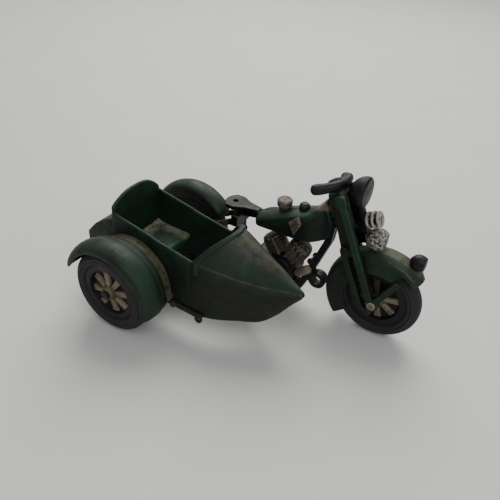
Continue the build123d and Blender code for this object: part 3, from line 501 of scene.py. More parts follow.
GREEN = enamel("green_enamel", (0.010, 0.038, 0.019), (0.008, 0.017, 0.010), wear=0.9, dust=0.26)
BRIGHT_GREEN = enamel("bright_green_enamel", (0.010, 0.044, 0.021), (0.008, 0.018, 0.011),
                      wear=0.9, dust=0.2)
DARK_GREEN = enamel("dark_green_enamel", (0.009, 0.033, 0.018), (0.008, 0.015, 0.010),
                    wear=0.8, dust=0.24)
BLACK = enamel("black_enamel", (0.0045, 0.0045, 0.0045), (0.003, 0.003, 0.003), (0.09, 0.075, 0.05),
               wear=0.5, dust=0.06, low=0.36, high=0.6)
SEAT = enamel("seat_enamel", (0.016, 0.058, 0.028), (0.012, 0.028, 0.017), (0.26, 0.22, 0.16),
              wear=1.2, dust=0.4)
CREAM = enamel("spoke_paint", (0.20, 0.17, 0.12), (0.05, 0.036, 0.022), (0.36, 0.32, 0.25),
               wear=1.2, dust=0.1)
WHEEL_BLACK = enamel("wheel_black", (0.007, 0.007, 0.007), (0.004, 0.004, 0.004), (0.05, 0.04, 0.03),
                     wear=0.3, dust=0.1)
SILVER = flaked("flaked_silver", (0.20, 0.175, 0.14), (0.010, 0.009, 0.008), (0.13, 0.095, 0.06),
                1.8 * MM, 0.54)
SPOTTED = flaked("spotted_silver", (0.42, 0.40, 0.36), (0.008, 0.008, 0.008), (0.24, 0.21, 0.16),
                 1.5 * MM, 0.54)
ENGINE = flaked("engine_silver", (0.125, 0.112, 0.088), (0.008, 0.007, 0.006), (0.105, 0.075, 0.042),
                2.2 * MM, 0.55)
RUBBER = aged_rubber()
IRON = enamel("bare_iron", (0.030, 0.026, 0.020), (0.014, 0.012, 0.009), (0.14, 0.11, 0.07),
              wear=0.8, dust=0.2)
PEENED = enamel("peened_ends", (0.22, 0.19, 0.145), (0.07, 0.055, 0.04), (0.34, 0.31, 0.25),
                wear=1.0, dust=0.1)

# ---------- wheels
TYRE_PROFILE = (  # distance out from the tyre's middle plane, radius
    (0, 28.0), (2.0, 27.8), (3.6, 27.0), (4.7, 25.7), (5.05, 24.7), (5.65, 24.35), (5.7, 23.3), (5.25, 22.9),
    (5.2, 22.5), (5.6, 22.1), (5.55, 20.9), (4.9, 20.3), (4.6, 19.66))
DISC_PROFILE = (  # along the axle, radius
    (-1, 0), (-1, 14.4), (-4.3, 15.4), (-4.3, 19.5), (4.3, 19.5), (4.3, 15.4), (1, 14.4), (1, 0))
BOSS_PROFILE = ((-6.25, 0), (-6.25, 3.9), (-3.4, 4.8), (3.4, 4.8), (6.25, 3.9), (6.25, 0))
SPOKE = (  # distance from the hub, width, height of the flat top over the wheel's middle plane
    (2.5, 3.3, 3.5), (7.0, 3.3, 3.1), (11.5, 3.9, 2.7), (14.0, 4.5, 2.45), (14.6, 4.1, 1.5))
SPOKES, FIRST_SPOKE = 8, 11  # number, and angle of the first in degrees


def wheel_tyre(name, hub, body):
    """Tyre with rounded steps on both faces."""
    half = in_metres(TYRE_PROFILE)
    outline = rounded([(-y, r) for y, r in reversed(half)] + half[1:], 0.3 * MM)
    steps = 120
    points = []
    for i in range(steps):
        turn = 2 * math.pi * i / steps
        points += [hub + Vector((r * math.cos(turn), y, r * math.sin(turn))) for y, r in outline]
    piece = new_piece(name + "_rubber", points, grid_faces(steps, len(outline), close_rows=True))
    publish(piece, RUBBER, body, "rubber", name, rough=0.03 * MM)


def spoke(hub, angle, side):
    """One raised spoke: flat top, sloping sides, squared outer end."""
    out = Vector((math.cos(angle), 0, math.sin(angle)))
    across = Vector((-math.sin(angle), 0, math.cos(angle)))
    rings = []
    for reach, width, top in SPOKE:
        centre = hub + out * reach * MM
        rings.append([centre + across * u * width / 2 * MM + Vector((0, side * v * MM, 0))
                      for u, v in ((-1.15, 0.6), (-0.85, top), (0.85, top), (1.15, 0.6))])
    return loft("spoke", rings)


def spoked_wheel(node, hub, body, bare):
    """Black rim and web with cream spokes and hub on both faces; bare is the zone where the cream is
    darkened: painted shade on the front wheel, the black axle boss on the sidecar wheel.
    """
    disc = lathe(node + "_disc", rounded(in_metres(DISC_PROFILE)), hub, (0, 1, 0), 96)
    publish(disc, WHEEL_BLACK, body, "wheel_paint", node, rough=0.03 * MM)
    parts = []
    for side in (-1, 1):
        parts += [spoke(hub, math.radians(FIRST_SPOKE + 360 // SPOKES * i), side) for i in range(SPOKES)]
    parts.append(lathe("boss", rounded(in_metres(BOSS_PROFILE)), hub, (0, 1, 0), 40))
    spokes = cast(join(node + "_spokes", *parts), fine(0.35), 2)
    publish(spokes, CREAM, body, "wheel_paint", rough=0.04 * MM, dark=bare)


def front_spoke_shade(place):
    """Painted shade on the front wheel: its cream spokes are darkened except the lower ones ahead of the hub.
    """
    ahead = place.x - fork_x
    return 0.9 * (1 - ease((ahead - 0.35 * (place.z - front_hub.z / MM) - 3.0) / 2.0))


def hub_bare(place):
    """Black axle boss in the middle of the cream spokes."""
    return 0.9 * ease((4.2 - math.hypot(place.x - axle_x, place.z - side_hub.z / MM)) / 0.6)


for wheel, hub, bare in (("front", front_hub, front_spoke_shade), ("rear", rear_hub, None),
                         ("sidecar", side_hub, hub_bare)):
    body = wheel + "_wheel_body"
    wheel_tyre(wheel + "_tyre", hub, body)
    spoked_wheel(wheel + "_wheel", hub, body, bare)


# ---------- fenders of the motorcycle
SHELL = 1.5  # thickness of every fender
FRONT_START, FRONT_END = 43.0, 219.0  # angles round the wheel, from straight ahead over the top
REAR_START, REAR_END = 34.0, 196.0
SIDE_START, SIDE_END = -10.0, 163.0


def shell_ring(outer):
    """Closed outline from an outer path and the same path moved inwards."""
    inner = []
    for i, (r, y) in enumerate(outer):
        before, after = outer[max(i - 1, 0)], outer[min(i + 1, len(outer) - 1)]
        dr, dy = after[0] - before[0], after[1] - before[1]
        length = math.hypot(dr, dy)
        inner.append((r - dy / length * SHELL, y + dr / length * SHELL))
    return outer + inner[::-1]


def wheel_point(hub, angle, r, y):
    """Point at a radius and a side offset round a wheel, in millimetres and degrees."""
    turn = math.radians(angle)
    return hub + Vector((r * math.cos(turn), y, r * math.sin(turn))) * MM


def arc_shell(name, hub, outline_at, start, end):
    """Curved shell round a wheel, a ring every two degrees; outline_at gives the closed outline there."""
    count = int(round((end - start) / 2))
    rings = []
    for i in range(count + 1):
        angle = start + (end - start) * i / count
        rings.append([wheel_point(hub, angle, r, y) for r, y in outline_at(angle)])
    return loft(name, rings)


def fender_path(crest, half, skirt, beads):
    """Cross-section of a motorcycle fender from one lip to the other, with beads along its skirts."""
    shoulder = crest - 5.5
    skirt = min(skirt, shoulder - 0.5)
    right = []
    levels, dome_steps, tallest_bead = 34, 24, 0.35
    for i in range(levels):
        r = skirt + (shoulder - skirt) * i / levels
        raised = sum(height * math.exp(-((r - place) / width) ** 2) for place, width, height in beads)
        right.append((r, -(half - tallest_bead + min(raised, tallest_bead))))
    side = half - 0.05
    dome = []
    for i in range(dome_steps + 1):
        turn = math.pi * i / dome_steps
        dome.append((shoulder + 5.4 * math.sin(turn) ** 0.85, -side * math.cos(turn)))
    return right + dome + [(r, -y) for r, y in reversed(right)]


def front_fender_outline(angle):
    """Short rounded lip ahead, deep ribbed skirt behind the fork."""
    nose = 1 - ease((angle - FRONT_START) / 9.0)
    skirt = 20.6 + 10.2 * (1 - ease((angle - 62.0) / 3.0)) + 1.6 * nose
    flare = 0.25 * ease((angle - 205.0) / 12.0)
    beads = [(28.6, 0.5, 0.5)]
    if angle > 92:
        fade = ease((angle - 92) / 10)
        beads += [(place, 0.42, 0.45 * fade) for place in (26.6, 24.7, 22.8)] + [(20.9, 0.6, 0.4)]
    path = fender_path(35.3 - 0.8 * nose, 8.35 * (1 - 0.22 * nose ** 1.5), skirt, beads)
    return shell_ring([(r, y * (1 + flare * 0.02)) for r, y in path])


def rear_fender_outline(angle):
    """Plain skirt with one bead and a rounded tail."""
    tail = ease((angle - (REAR_END - 10.0)) / 10.0)
    nose = 1 - ease((angle - REAR_START) / 7.0)
    close = max(tail, nose)
    skirt = 24.6 + 4.0 * close
    return shell_ring(fender_path(34.8 - 0.7 * close, 7.95 * (1 - 0.3 * close ** 2), skirt,
                                  [(28.2, 0.55, 0.45), (25.0, 0.6, 0.4)]))


front_fender = arc_shell("front_fender_shell", front_hub, front_fender_outline, FRONT_START, FRONT_END)
rear_fender = arc_shell("rear_fender_shell", rear_hub, rear_fender_outline, REAR_START, REAR_END)
FENDER_VOXEL = fine(0.34)


def front_fender_dark(place):
    """Painted shade: the skirts are darker than the crown, most of all behind the fork."""
    across = abs(place.y - bike_mid)
    behind = ease((fork_x - 4 - place.x) / 8)
    return ease((across - 6.4) / 1.6) * (0.42 + 0.42 * behind)


def rear_fender_dark(place):
    """Painted shade: the side towards the sidecar is nearly black."""
    return 0.8 * ease((bike_mid - place.y - 4.5) / 3.0)


def crown_pale(place):
    """Brown wear along the crown ahead of the lamp, and a thin painted highlight line on the right shoulder.
    """
    across = place.y - bike_mid
    reach = math.hypot(place.x - fork_x, place.z - front_hub.z / MM)
    crown = 0.42 * ease((5.0 - abs(across)) / 2.0) * ease((place.z - 53.0) / 3.0)
    # Painted highlight: a thin bright line along the right shoulder.
    line = 0.8 * math.exp(-((reach - 32.6) / 0.45) ** 2) * ease((-across - 7.0) / 0.5)
    return max(crown, line * ease((place.x - fork_x - 2) / 3))


publish(cast(front_fender, FENDER_VOXEL, 2, 0.5), BRIGHT_GREEN, "steering", "green_enamel", "front_fender",
        dark=front_fender_dark, pale=crown_pale)
publish(cast(rear_fender, FENDER_VOXEL, 2, 0.4), GREEN, "chassis", "green_enamel", "rear_fender",
        dark=rear_fender_dark)

# ---------- sidecar fender
wall_offset = (tub_low.y - side_hub.y) / MM  # wheel's middle plane to the tub's near wall
SIDE_FENDER = (  # radius, offset from the wheel's middle plane
    (28.95, -8.6), (30.2, -8.5), (31.6, -8.1), (33.0, -7.1), (34.2, -5.2), (34.95, -3.0), (35.3, -0.4),
    (35.25, 1.8), (34.9, 3.8), (34.2, 5.6), (33.5, 6.9), (33.15, 7.6), (33.4, 8.2), (33.35, 9.0), (32.7, 9.6),
    (31.7, 10.6), (31.1, 11.4), (31.2, 12.0), (30.9, 12.7), (30.2, 13.4), (29.6, 14.4), (29.3, 16.0),
    (29.1, 18.0), (29.0, wall_offset))


def side_fender_outline(angle):
    """Broad crown, a double bead near the tub, a flat inner edge and rounded ends."""
    tail = ease((angle - (SIDE_END - 15.0)) / 15.0) ** 2
    front = (1 - ease((angle - SIDE_START) / 12.0)) ** 2
    close = max(tail, front)
    top = 35.3 - 3.2 * close
    path = [(top - (top - r) * (1 - 0.72 * close), y * (1 - 0.1 * close) if y < 0 else y)
            for r, y in SIDE_FENDER]
    return shell_ring(path)


side_fender = arc_shell("sidecar_fender_shell", side_hub, side_fender_outline, SIDE_START, SIDE_END)


def side_fender_pale(place):
    """Worn strip where the fender meets the tub."""
    return 0.42 * ease((place.y - side_hub.y / MM - 13.0) / 2.5)


def side_fender_dark(place):
    """Painted shade in the groove beside the bead and along the outer lip."""
    across = place.y - side_hub.y / MM
    return 0.5 * math.exp(-((across - 7.3) / 0.9) ** 2) + 0.45 * ease((-5.5 - across) / 3.0)


publish(cast(side_fender, FENDER_VOXEL, 3, 0.5), GREEN, "chassis", "green_enamel", "sidecar_fender",
        dark=side_fender_dark, pale=side_fender_pale)

# ---------- sidecar tub
HULL = (  # ahead of the axle, half-width, crease, ridge, belly half-width, belly height
    (44.0, 22.0, 56.5, 80.0, 22.0, 16.5), (61.0, 21.2, 55.8, 75.2, 18.0, 16.5),
    (73.0, 17.2, 53.0, 69.0, 11.0, 16.5), (85.0, 12.0, 50.4, 63.4, 4.6, 17.5),
    (96.0, 6.8, 49.0, 58.0, 2.0, 28.0), (104.0, 3.4, 48.6, 52.6, 1.4, 39.0),
    (110.0, 0.9, 48.0, 49.4, 0.6, 45.6))
HULL_START, HULL_END = HULL[0][0], HULL[-1][0]
HULL_CURVES = np.array(HULL)
HULL_SLOPES = np.gradient(HULL_CURVES[:, 1:], HULL_CURVES[:, 0], axis=0)
HULL_SLOPES[0] = 0
COWL_REAR, COAMING_TOP = 46.0, 61.0  # coaming at the crease and at the ridge, ahead of the axle
CREASE_Z, RIDGE_Z = 56.0, 76.4  # heights between which the coaming leans
DECK_CURVE = 1.85  # 2 is a parabola, lower is more pointed
TUB_HALF, TUB_FLOOR, WALL = 22.0, 16.5, 2.2  # half-width, lower edge, wall thickness
RIM_REAR, RIM_DROP = 67.3, 11.2  # rim height at the seat back and its fall to the cowl
RIM_STEP, STEP_AT = 0.9, 0.52  # step beside the seat, and its share of the way forward
BACK_NEAR, BACK_DROP, BACK_TOP = 72.2, 3.0, 79.1  # seat back: near corner, fall to the far one, top


def hull_at(ahead):
    """Half-width, crease, ridge, belly half-width and belly height of the hull, smooth along its length."""
    rows = HULL_CURVES
    ahead = min(max(ahead, rows[0, 0]), rows[-1, 0])
    k = min(int(np.searchsorted(rows[:, 0], ahead, side="right")) - 1, len(rows) - 2)
    span = rows[k + 1, 0] - rows[k, 0]
    t = (ahead - rows[k, 0]) / span
    value = hermite(t, rows[k, 1:], rows[k + 1, 1:], HULL_SLOPES[k] * span, HULL_SLOPES[k + 1] * span)
    return [float(v) for v in value]


def deck_section(ahead, grow=0.0, steps=24):
    """Deck from the near crease over the ridge to the far one: (across, height)."""
    half, crease, ridge, _, _ = hull_at(ahead)
    section = []
    for i in range(steps + 1):
        across = -math.cos(math.pi * i / steps)
        height = crease + (ridge - crease) * (1 - abs(across) ** DECK_CURVE)
        section.append(((half + grow) * across, height + grow * (1 - 0.5 * abs(across))))
    return section


def side_section(ahead, grow=0.0, steps=10):
    """Side from the belly up to the crease: (across, height), on the near side."""
    half, crease, _, belly_half, belly = hull_at(ahead)
    section = []
    for i in range(steps):
        t = i / steps
        bulge = 0.9 * math.sin(math.pi * t) * min(1.0, (ahead - HULL_START) / 20)
        across = belly_half + (half - belly_half) * t ** 0.9 + bulge
        section.append((-(across + grow), belly + (crease - belly) * t))
    return section


def hull_ring(ahead, grow):
    """Open-bottomed hoop round the hull at a station; the deck leans back towards the coaming."""
    near = side_section(ahead, grow)
    far = [(-across, height) for across, height in reversed(near)]
    points = []
    fade = max(0.0, 1 - (ahead - COWL_REAR) / 50.0)
    crease = hull_at(ahead)[1]
    lean = (COAMING_TOP - COWL_REAR) / (RIDGE_Z - CREASE_Z)
    for across, height in near + deck_section(ahead, grow) + far:
        shift = max(0.0, height - crease) * lean * fade
        points.append((ahead + shift, across, height))
    if fade > 0:
        points = [(x, *settle(x, across, height, ahead, grow)) for x, across, height in points]
    return [Vector((axle_x + x, tub_mid + across, height)) * MM for x, across, height in points]


def settle(x, across, height, ahead, grow):
    """Moves a leaned point back onto the hull's surface at its new station."""
    if x - ahead < 0.01:
        return across, height
    half, crease, ridge, _, _ = hull_at(ahead)
    share = min(1.0, abs(across) / (half + grow))
    new_half, new_crease, new_ridge, _, _ = hull_at(min(x, HULL_END))
    lift = grow * (1 - 0.5 * share)
    return (math.copysign(share * (new_half + grow), across),
            new_crease + (new_ridge - new_crease) * (1 - share ** DECK_CURVE) + lift)


def cowl_shell():
    """Thin hull ahead of the cockpit."""
    stations = [COWL_REAR - 1.0 + i * 2.2 for i in range(29)] + [109.6]
    outer = [hull_ring(a, 0.0) for a in stations]
    inner = [hull_ring(a, -min(2.0, 0.4 * hull_at(a)[0])) for a in stations]
    return loft("cowl_shell", [o + list(reversed(i)) for o, i in zip(outer, inner)])


def coaming_band(start, width, grow):
    """Raised hoop round the rear edge of the cowl's deck."""
    rings = []
    left_off = 8  # points of the sides below the hoop's ends
    for a in np.linspace(start, start + width, 6):
        edge = grow * math.sin(math.pi * min(max((a - start) / width, 0.06), 0.94)) ** 0.5
        outer = hull_ring(a, edge)
        inner = hull_ring(a, -1.6)
        cut = slice(left_off, len(outer) - left_off)
        rings.append(outer[cut] + list(reversed(inner[cut])))
    return loft("coaming", rings)


def wall_top(x):
    """Height of a side wall's rim, with the small step beside the seat."""
    along = (x - rear_x) / (axle_x + COWL_REAR - rear_x)
    return RIM_REAR - RIM_DROP * along + (RIM_STEP if along < STEP_AT else 0.0) * (1 - along)


def side_wall(side):
    """Flat wall of the cockpit with a rounded rim."""
    rings = []
    for x in np.linspace(rear_x + 0.1, axle_x + COWL_REAR + 1.5, 40):
        top = wall_top(x)
        edge = tub_mid + side * 21.95
        ring = []
        for inward, height in ((0, TUB_FLOOR), (0, 30), (0, 45), (0, top - 1.0), (0.45, top - 0.25),
                               (1.1, top), (1.75, top - 0.25), (WALL, top - 1.0), (WALL, 45), (WALL, 30),
                               (WALL, TUB_FLOOR)):
            ring.append(Vector((x, edge - side * inward, height)) * MM)
        rings.append(ring)
    return loft("wall", rings)


def seat_back():
    """Arched plate behind the seat."""
    count = 40
    outline = []
    for i in range(count + 1):
        t = i / count
        across = -TUB_HALF + 2 * TUB_HALF * t
        lean = BACK_NEAR - BACK_DROP * t
        arch = (BACK_TOP - lean) * (1 - abs(2 * t - 1) ** 2.6)
        outline.append((across, lean + arch))
    foot = TUB_FLOOR + 0.1
    outline = [(-TUB_HALF, foot)] + outline + [(TUB_HALF, foot)]
    rings = []
    for x, inset in ((rear_x + 0.05, 0.7), (rear_x + 0.5, 0.1), (rear_x + 2.1, 0.1), (rear_x + 2.55, 0.7)):
        rings.append([Vector((x, tub_mid + a * (1 - inset / TUB_HALF), z - inset)) * MM for a, z in outline])
    return loft("seat_back", rings)


def dent(piece, centre, radius, depth):
    """Pushes points near a place in along its direction."""
    for vertex in piece.data.vertices:
        reach = (vertex.co - centre).length / radius
        if reach < 1:
            vertex.co += depth * (1 - reach * reach) ** 2
    piece.data.update()


tub = cast(join("tub_body", cowl_shell(), side_wall(-1), side_wall(1), seat_back()),
           fine(0.5), 4, 0.4)
back_face = Vector((rear_x + 2.6, tub_mid - 18.6, 67.5)) * MM
dent(tub, back_face, 2.6 * MM, Vector((-1.3, 0, 0)) * MM)


def tub_dark(place):
    """Painted shade: sides under the crease and the inside of the cockpit are nearly black."""
    ahead = place.x - axle_x
    crease = hull_at(ahead)[1] if ahead > COWL_REAR else wall_top(place.x) - 2.0
    under = ease((crease - 0.5 - place.z) / 5.0)
    if ahead < COWL_REAR and abs(place.y - tub_mid) < 20.6 and place.x > rear_x + 4:
        return 0.3 * ease((58 - place.z) / 25)
    if ahead < COWL_REAR and place.x <= rear_x + 4:
        return 0.35 * ease((55 - place.z) / 20)
    return 0.80 * under


def cowl_pale(place):
    """Grey-tan bloom along the top of the cowl and behind the coaming, thin along the belly edge."""
    ahead = place.x - axle_x
    if ahead < COWL_REAR:
        return 0.0
    half, crease, ridge, _, belly = hull_at(ahead)
    share = (place.z - crease) / max(ridge - crease, 1.0)
    edge = 0.26 * math.exp(-((place.z - crease) / 0.6) ** 2)
    return max(0.24 * ease((share - 0.55) / 0.45), edge, 0.35 * ease((belly + 1.6 - place.z) / 1.2))


publish(tub, DARK_GREEN, "chassis", "dark_green_enamel", "sidecar_tub", rough=0.08 * MM,
        dark=tub_dark, pale=cowl_pale)
coaming = cast(coaming_band(COWL_REAR - 1.0, 5.0, 1.3), 0.4 * MM, 3, 0.5)
publish(coaming, DARK_GREEN, "chassis", "dark_green_enamel", dark=even(0.35))

# ---------- tank
TANK = (  # ahead of the front axle, bottom, top, height of the side roll, half-width
    (-91.0, 52.6, 56.4, 54.4, 3.4), (-90.0, 51.2, 58.4, 54.6, 6.4), (-88.0, 50.7, 60.2, 55.0, 8.6),
    (-84.0, 50.4, 62.2, 56.6, 9.4), (-77.0, 50.2, 65.0, 59.4, 9.5), (-71.0, 50.0, 67.5, 62.6, 9.5),
    (-64.0, 49.9, 70.0, 66.4, 9.4), (-57.0, 49.9, 72.2, 69.4, 9.2), (-52.0, 50.4, 74.4, 71.6, 8.6),
    (-48.0, 51.2, 78.6, 74.6, 7.2), (-45.0, 52.4, 82.4, 78.0, 5.6), (-42.6, 53.8, 85.1, 80.6, 4.7),
    (-40.0, 55.8, 79.2, 75.0, 4.5), (-37.6, 59.0, 73.0, 70.0, 4.2), (-36.3, 64.0, 69.8, 68.0, 2.6))


def bike_point(ahead, left, height):
    """Point given from the front axle and the middle plane, in millimetres."""
    return Vector((fork_x + ahead, bike_mid + left, height)) * MM


def tank_ring(row, side):
    """Section of one tank half: flat at the seam, a rolled shoulder and a shallow dark side below it."""
    ahead, low, top, roll, half = row
    height = top - low
    outline = []
    steps = 24
    for i in range(steps + 1):
        t = i / steps
        z = low + height * t
        rounding = min(1.0, math.sqrt(max(0.0, 1 - (1 - min(t / 0.16, 1)) ** 2)) + 0.02)
        above = max(0.0, (z - roll) / max(top - roll, 0.1))
        crown = math.sqrt(max(0.0, 1 - above ** 2.2)) + 0.04
        hollow = 1 - 0.17 * (1 - math.exp(-((roll - z) / 3.4) ** 2)) * (z < roll)
        outline.append((half * rounding * min(crown, 1.0) * hollow, z))
    points = [bike_point(ahead, side * across, z) for across, z in outline]
    seam = [bike_point(ahead, side * 0.12, z) for _, z in (outline[-1], outline[0])]
    return points + seam


def smooth_rows(rows, steps):
    """Rows of numbers with smooth in-betweens."""
    table = np.array(rows)
    slopes = np.gradient(table, axis=0)
    result = []
    for k in range(len(rows) - 1):
        for i in range(steps):
            t = i / steps
            result.append(tuple(hermite(t, table[k], table[k + 1], slopes[k], slopes[k + 1])))
    return result + [tuple(table[-1])]


def tank_dark(place):
    """Painted shade: below the roll the side is nearly black, more so towards the fork."""
    ahead = place.x - fork_x
    roll = float(np.interp(ahead, [row[0] for row in TANK], [row[3] for row in TANK]))
    return 0.75 * ease((roll - 1.0 - place.z) / 2.0) * ease((ahead + 89) / 5)


def neck_pale(place):
    """Cream wear where the tank rises to the steering head."""
    return 0.95 * ease((place.z - 76.5) / 2.5)


for side, node in ((-1, "tank_right_half"), (1, "tank_left_half")):
    half = loft(node + "_shell", [tank_ring(row, side) for row in smooth_rows(TANK, 4)])
    publish(cast(half, fine(0.4), 3), BRIGHT_GREEN, "chassis", "green_enamel", node,
            rough=0.12 * MM, dark=tank_dark, pale=neck_pale)

# ---------- engine
crank = bike_point(-67.5, 0, 25.4)


def cylinder(node, tilt):
    """Finned barrel under a domed head with a plug on top."""
    lean = Vector((math.sin(math.radians(tilt)), 0, math.cos(math.radians(tilt))))
    profile = [(9.5, 0), (9.5, 6.4), (11.0, 6.4)]
    fins, first_fin, pitch = 6, 11.2, 1.55
    for fin in range(fins):
        start = first_fin + fin * pitch
        profile += [(start, 6.5), (start + 0.15, 8.0), (start + 0.75, 8.0), (start + 0.9, 6.5)]
    profile += [(20.6, 6.6), (20.9, 7.6), (22.0, 7.5), (23.0, 6.2), (23.5, 3.2), (23.6, 0)]
    barrel = lathe("barrel", in_metres(profile), crank, lean, 56)
    across = lean.cross(Vector((0, 1, 0)))
    tubes = []
    for shift in (-3.2, 3.2):
        foot = crank + lean * 10.0 * MM + across * shift * MM + Vector((0, -7.0, 0)) * MM
        tubes.append(tube("pushrod", [foot, foot + lean * 5.5 * MM, foot + lean * 11.5 * MM], 1.05 * MM, 12))
    plug = tube("plug", [crank + lean * 20.0 * MM + Vector((0, -5.4, 0)) * MM,
                         crank + lean * 21.6 * MM + Vector((0, -7.4, 0)) * MM], 1.2 * MM, 12)
    piece = cast(join(node + "_barrel", barrel, plug, *tubes), fine(0.27), 1, 0.5)
    publish(piece, ENGINE, "chassis", "silver_paint", node, rough=0.14 * MM)


CYLINDER_TILT = 31.0
cylinder("front_cylinder", CYLINDER_TILT)
cylinder("rear_cylinder", -CYLINDER_TILT)
stub_low, stub_high = bike_point(-55.2, -4.6, 25.0), bike_point(-48.6, -4.6, 30.6)
stub = tube("engine_stub", smooth_path([stub_low, (stub_low + stub_high) / 2, stub_high], 6), 3.1 * MM, 32)
publish(stub, PEENED, "chassis", "silver_paint", rough=0.15 * MM)

# ---------- handlebar and seat
bar_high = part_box("handlebar")[1]


def bar_radii(count):
    """Radii from the end of a grip inwards."""
    return [r * MM for r in (GRIP + [BAR] * count)[:count]]


def clamp_pale(place):
    """Cream wear on the clamp between the grips."""
    return 0.95 * ease((5.6 - abs(place.y - bike_mid)) / 1.5) * ease((97.6 - place.z) / 1.5)


GRIP = [3.3, 3.35, 3.4, 3.4, 3.35, 3.3, 3.2, 3.1, 3.0]
BAR = 2.9
head_z = bar_high.z / MM - 3.9
right_grip = smooth_path([
    bike_point(-47.0, -14.6, 95.6), bike_point(-42.5, -11.8, 96.6), bike_point(-37.2, -7.6, head_z),
    bike_point(-35.0, -3.0, head_z + 0.3), bike_point(-34.6, 2.4, head_z + 0.2)], 5)
left_grip = smooth_path([
    bike_point(-34.6, -2.4, head_z + 0.2), bike_point(-34.4, 3.4, head_z + 0.2),
    bike_point(-35.6, 8.2, head_z - 0.4), bike_point(-38.0, 12.0, 95.4), bike_point(-39.9, 14.4, 94.2)], 5)
clamp = tube("clamp", [bike_point(-40.6, 0, 92.6), bike_point(-37.8, 0, 95.4), bike_point(-35.4, 0, 98.4)],
             [5.6 * MM, 5.2 * MM, 3.6 * MM])
right_bar = tube("right_bar", right_grip, bar_radii(len(right_grip)))
left_bar = tube("left_bar", left_grip, bar_radii(len(left_grip))[::-1])
bars = cast(join("handlebar_casting", clamp, right_bar, left_bar), fine(0.36), 3)
publish(bars, BLACK, "steering", "black_enamel", "handlebar", rough=0.12 * MM, pale=clamp_pale)

seat_low, seat_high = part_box("sidecar_seat")


SEAT_SECTION = (  # ahead of the seat's front edge, above its top
    (-27.0, 2.6), (-26.0, 1.6), (-24.0, 0.7), (-20.0, 0.1), (-12.0, -0.35), (-6.0, -0.3), (-2.2, -0.2),
    (-0.7, -0.8), (-0.05, -2.2), (-0.05, -5.0), (-0.9, -5.9), (-2.4, -5.9), (-3.1, -5.0), (-3.4, -4.1),
    (-12.0, -3.9), (-20.0, -3.9), (-27.0, -3.9))
PEG_HOLE = ((-9, 0), (-9, 2), (9, 2), (9, 0))  # along the hole, radius
PEG_BACK = 10  # from the seat's front edge


def seat_slab():
    """Cast seat: dipped middle, rolled front edge, and a fillet up the seat back."""
    rows = []
    for y in np.linspace(seat_low.y + 0.1 * MM, seat_high.y - 0.1 * MM, 12):
        edge = abs((y - (seat_low.y + seat_high.y) / 2) / (seat_high.y - seat_low.y) * 2)
        rise = 0.9 * edge ** 6  # only the top curls up at its ends
        rows.append([Vector((seat_high.x + x * MM, y, seat_high.z + (z + (rise if z > -3 else 0)) * MM))
                     for x, z in SEAT_SECTION])
    return loft("sidecar_seat_casting", rows)


seat = seat_slab()
peg = lathe("peg_cut", in_metres(PEG_HOLE), Vector((seat_high.x - PEG_BACK * MM, tub_y, seat_high.z)),
            (0, 0, 1), 32)
cut = seat.modifiers.new("peg", "BOOLEAN")
cut.operation = "DIFFERENCE"
cut.object = peg
bake_modifiers(seat)
bpy.data.objects.remove(peg)


def seat_pale(place):
    """Cream wear at the back, at the far end and round the front edge."""
    back = ease((seat_low.x / MM + 9.0 - place.x) / 6.0)
    far = ease((place.y - seat_high.y / MM + 9.0) / 6.0)
    return max(0.85 * back, 0.8 * far) * ease((place.z - seat_high.z / MM + 3.0) / 2.0)


publish(cast(seat, fine(0.4), 3), SEAT, "chassis", "seat_enamel", "sidecar_seat",
        rough=0.1 * MM, pale=seat_pale)


# ---------- castings that keep their CAD shape
def along_fork(place):
    """Distance ahead of the fork's line and distance up it from the front axle."""
    ahead, above = place.x - fork_x, place.z - wheel_radius
    return (ahead * math.cos(rake) + above * math.sin(rake), above * math.cos(rake) - ahead * math.sin(rake))


def fork_dark(place):
    """Painted shade: dark web and a dark rear half of the upper leg, so that the front rib stands out."""
    forward, upward = along_fork(place)
    across = abs(place.y - bike_mid)
    if upward > 70.2 and across < 8.0:
        return 0.0
    recess = ease((11.3 - across) / 0.5)
    behind = ease((-3.9 - forward) / 0.8)
    strut = 0.7 * ease((forward - 2.5) / 1.5) * ease((30 - upward) / 4)
    low = 0.45 * ease((34 - upward) / 20)
    return max(0.95 * recess, 0.8 * behind, strut, low)


def fork_pale(place):
    """Cream wear on the upper crown, under the handlebar."""
    upward = along_fork(place)[1]
    return 0.9 * ease((upward - 70.4) / 0.6) * ease((7.6 - abs(place.y - bike_mid)) / 0.8)


def frame_pale(place):
    """Cream wear on the seat stays and the steering head."""
    stay = ease((place.z - 36) / 4) * ease((-30.5 - place.x) / 4)
    return max(0.9 * stay, 0.9 * ease((place.z - 82) / 3))


